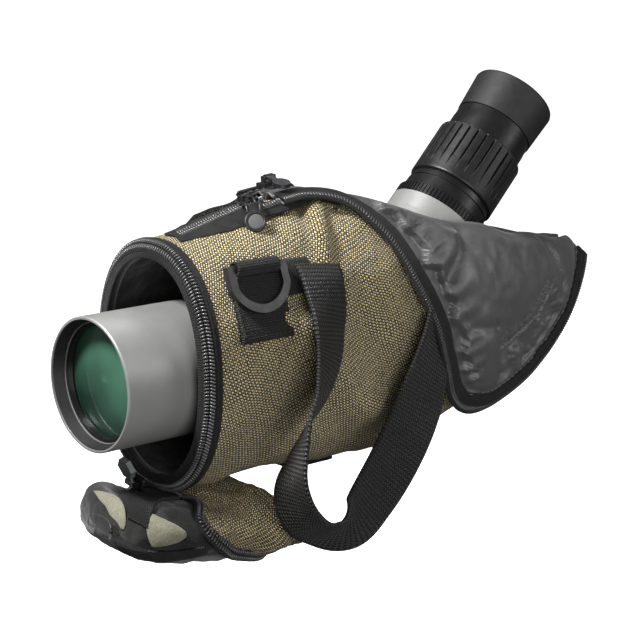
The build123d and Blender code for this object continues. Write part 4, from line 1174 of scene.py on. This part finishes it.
def lid():
    """The open cap: fleece in front of the zip, khaki behind it, the zip, and what is sewn on."""
    share = np.concatenate([np.linspace(0, 0.2, 14), np.linspace(0.23, 1.0, 34)])
    fleece = lid_sheet("cap_fleece_face", share, 3.0, None, CAP_FLEECE, 0.8, 1.1, 2.2, "cap_lining")
    khaki = lid_sheet("cap_cloth", np.linspace(0.01, 1, 64), None, 90.0, KHAKI, 1.0, 1.6, 6.1, "cap_shell")
    for name, points, material, slot in (("cap_fleece_nose", fleece[0], CAP_FLEECE, "lining"),
                                         ("cap_cloth_tail", khaki[-1], KHAKI, "khaki")):
        centre = points.mean(axis=0)
        shift = np.array([-1.6 if material is CAP_FLEECE else 1.6, 0, 0])
        share = np.linspace(1, 0.02, 8)[:, None, None]
        cap = centre + (points - centre)[None] * share + shift * (1 - share ** 2)
        piece = sheet_mesh(name, cap, material, around=True, flip=material is CAP_FLEECE)
        finish_piece(piece, "front_cap", slot)
    angle = np.linspace(0, TAU, 361)[:-1]
    rim = hermite(LID_RIM, np.degrees(angle))[:, 0]
    path = lid_point(rim, angle, 0.6)
    radial = unit(lid_point(rim, angle, 6.0) - lid_point(rim, angle, 0.0))
    tape = sweep("cap_zip_tape", path, radial, flat_profile(6.4, 1.2), TAPE, closed=True)
    finish_piece(tape, "front_cap", "coil", "cap_zipper")
    for name, sideways in (("cap_teeth", -1.7), ("cap_teeth_inner", 1.2)):
        coil = teeth(name, path, radial, COIL, pitch=1.5, length=2.4, width=0.85, height=1.2,
                     sideways=sideways, lift=1.0, closed=True)
        finish_piece(coil, "front_cap", "coil")
    lid_patch("cap_band", [(37, 66), (30, 70), (13.7, 94), (6.7, 144)],
              [(41, 98), (24, 112), (13.5, 142), (11.1, 168)], 1.6, GROSGRAIN, 1.4, rows=40, columns=24)
    lid_patch("cap_pale_left", [(8.9, 62), (6.2, 85), (4.3, 115), (4.6, 168)],
              [(11.5, 88), (9.6, 106), (7.4, 128), (5.0, 172)], 1.4, PALE_CLOTH, 1.1, puff=1.2, seed=3.0)
    lid_patch("cap_pale_right", [(13.8, 142), (11.2, 158), (10.5, 175), (11.7, 192)],
              [(14.2, 145), (17.2, 157), (19.6, 176), (12.5, 192)], 1.6, PALE_CLOTH, 1.1, puff=1.4, seed=8.0)
    lid_patch("cap_lip", [(3.4, 150), (4.5, 192), (10.5, 204), (17, 198), (24, 188)],
              [(4.2, 205), (9.1, 240), (15, 232), (20, 218), (25.5, 200)], 1.0, GROSGRAIN, 1.2,
              rows=40, puff=0.8)


# ------------------------------------------------------------------ building it all
case_shell()
lining()
mouth()
top_zip()
for flap_name, flap_side in (("near_flap", -1), ("far_flap", 1)):
    flap_edging(flap_name, flap_side, flap(flap_name, flap_side))
strap()
strap_anchor()
for ring_side, sign in (("near", -1), ("far", 1)):
    d_ring_patch(f"patch_{ring_side}", sign)
zip_pull("top_pull_bail", "top_pull", "top_pull", pin=(90.8, -1.2, 72.4), centre=(80.2, -19.2, 65.6),
         facing=(-0.5, -0.72, 0.48))
zoom_ring()
scale_marks("lower_scale", "scope", 79.0, 22.0, ["20", "30", "40", "50", "60"], 3.4, 205, 32)
scale_marks("upper_scale", "scope", 117.8, 20.5, ["-", "0", "+"], 3.0, 232, 18)
lid()

# every piece of cloth, named with how it is held and what it rests on; cloth() does nothing with them
cloth("case_shell", "stretched", ["case_lining_cloth"],
      ["patch_", "top_zip_", "top_coil", "mouth_binding", "mouth_coil", "mouth_gros", "mouth_zipper_cloth"])
cloth("case_lining_cloth", "stretched", ["case_shell"])
for flap_name in ("near_flap", "far_flap"):
    cloth(f"{flap_name}_satin", "folded", ["case_shell"], [f"{flap_name}_t", f"{flap_name}_seam"])
    cloth(f"{flap_name}_khaki", "folded", ["case_shell"])
for piece_name in ("strap_front", "strap_rear"):
    cloth(piece_name, "hung", ["case_shell"])
cloth("strap_anchor", "laid", ["case_shell"])
cloth("far_webbing", "laid", ["case_shell"])
for piece_name in ("cap_band", "cap_lip", "cap_pale_left", "cap_pale_right"):
    cloth(piece_name, "laid", ["cap_fleece_face"])


# ------------------------------------------------------------------ camera and light
CAMERA_PLACE = (-478.92, -710.98, 206.91)      # station, across and above
CAMERA_TURN = (-40.63, 11.73, -0.73)           # azimuth, elevation and roll in degrees
CAMERA_LENS = 114.29                           # mm, on a sensor 36 mm wide
# name, place from the target along the camera's back, right and up in metres, size in metres, watts
LIGHTS = [("key", 0.5, -0.55, 0.7, 0.2, 19.0), ("rim", 0.15, 0.85, 0.25, 0.4, 1.6),
          ("fill", 0.75, 0.3, -0.2, 0.6, 4.8), ("top", -0.2, 0.0, 0.9, 0.5, 2.0)]
SKY = 0.09
FLOOR_DROP, FLOOR_REACH = 0.055, 60.0          # metres under the object, and to each side


def camera():
    """The camera; gives its back, right and up directions without the roll."""
    azimuth, elevation, roll = (math.radians(a) for a in CAMERA_TURN)
    back = Vector((math.sin(azimuth) * math.cos(elevation), -math.cos(azimuth) * math.cos(elevation),
                   math.sin(elevation)))
    right = Vector((math.cos(azimuth), math.sin(azimuth), 0))
    up = back.cross(right)
    rolled_right = math.cos(roll) * right + math.sin(roll) * up
    rolled_up = -math.sin(roll) * right + math.cos(roll) * up
    data = bpy.data.cameras.new("camera")
    data.sensor_width = 36
    data.lens = CAMERA_LENS
    data.clip_start = 0.05
    made = bpy.data.objects.new("camera", data)
    bpy.context.scene.collection.objects.link(made)
    made.matrix_world = Matrix.Translation(at(*CAMERA_PLACE)) @ Matrix(
        (rolled_right, rolled_up, back)).transposed().to_4x4()
    bpy.context.scene.camera = made
    return back, right, up


def area_light(name, where, target, size, power):
    data = bpy.data.lights.new(name, "AREA")
    data.energy, data.size = power, size
    made = bpy.data.objects.new(name, data)
    made.location = where
    made.rotation_euler = (target - where).to_track_quat("-Z", "Y").to_euler()
    bpy.context.scene.collection.objects.link(made)


def studio():
    back, right, up = camera()
    target = at(120, 0, 10)
    for name, behind, beside, over, size, power in LIGHTS:
        area_light(name, target + back * behind + right * beside + up * over, target, size, power)
    world = bpy.data.worlds.new("studio")
    world.use_nodes = True
    world.node_tree.nodes["Background"].inputs["Color"].default_value = (1, 1, 1, 1)
    world.node_tree.nodes["Background"].inputs["Strength"].default_value = SKY
    bpy.context.scene.world = world
    bpy.context.scene.view_settings.view_transform = "Standard"
    low = cad_box[0][2] - FLOOR_DROP
    floor_look = Look("floor_look", Roughness=0.8, Emission_Strength=1.0)
    floor_look.shader.inputs["Emission Color"].default_value = (1, 1, 1, 1)
    floor_look.use("Base Color", floor_look.mix(floor_look.noise(3.0, 2.0), rgb(0.80, 0.80, 0.80),
                                                rgb(0.84, 0.84, 0.84)))
    corners = [(x * FLOOR_REACH, y * FLOOR_REACH, low) for x, y in ((-1, -1), (1, -1), (1, 1), (-1, 1))]
    floor = new_object("floor", corners, [(0, 1, 2, 3)], floor_look.material)
    floor.visible_diffuse = False
    floor.visible_glossy = False


studio()
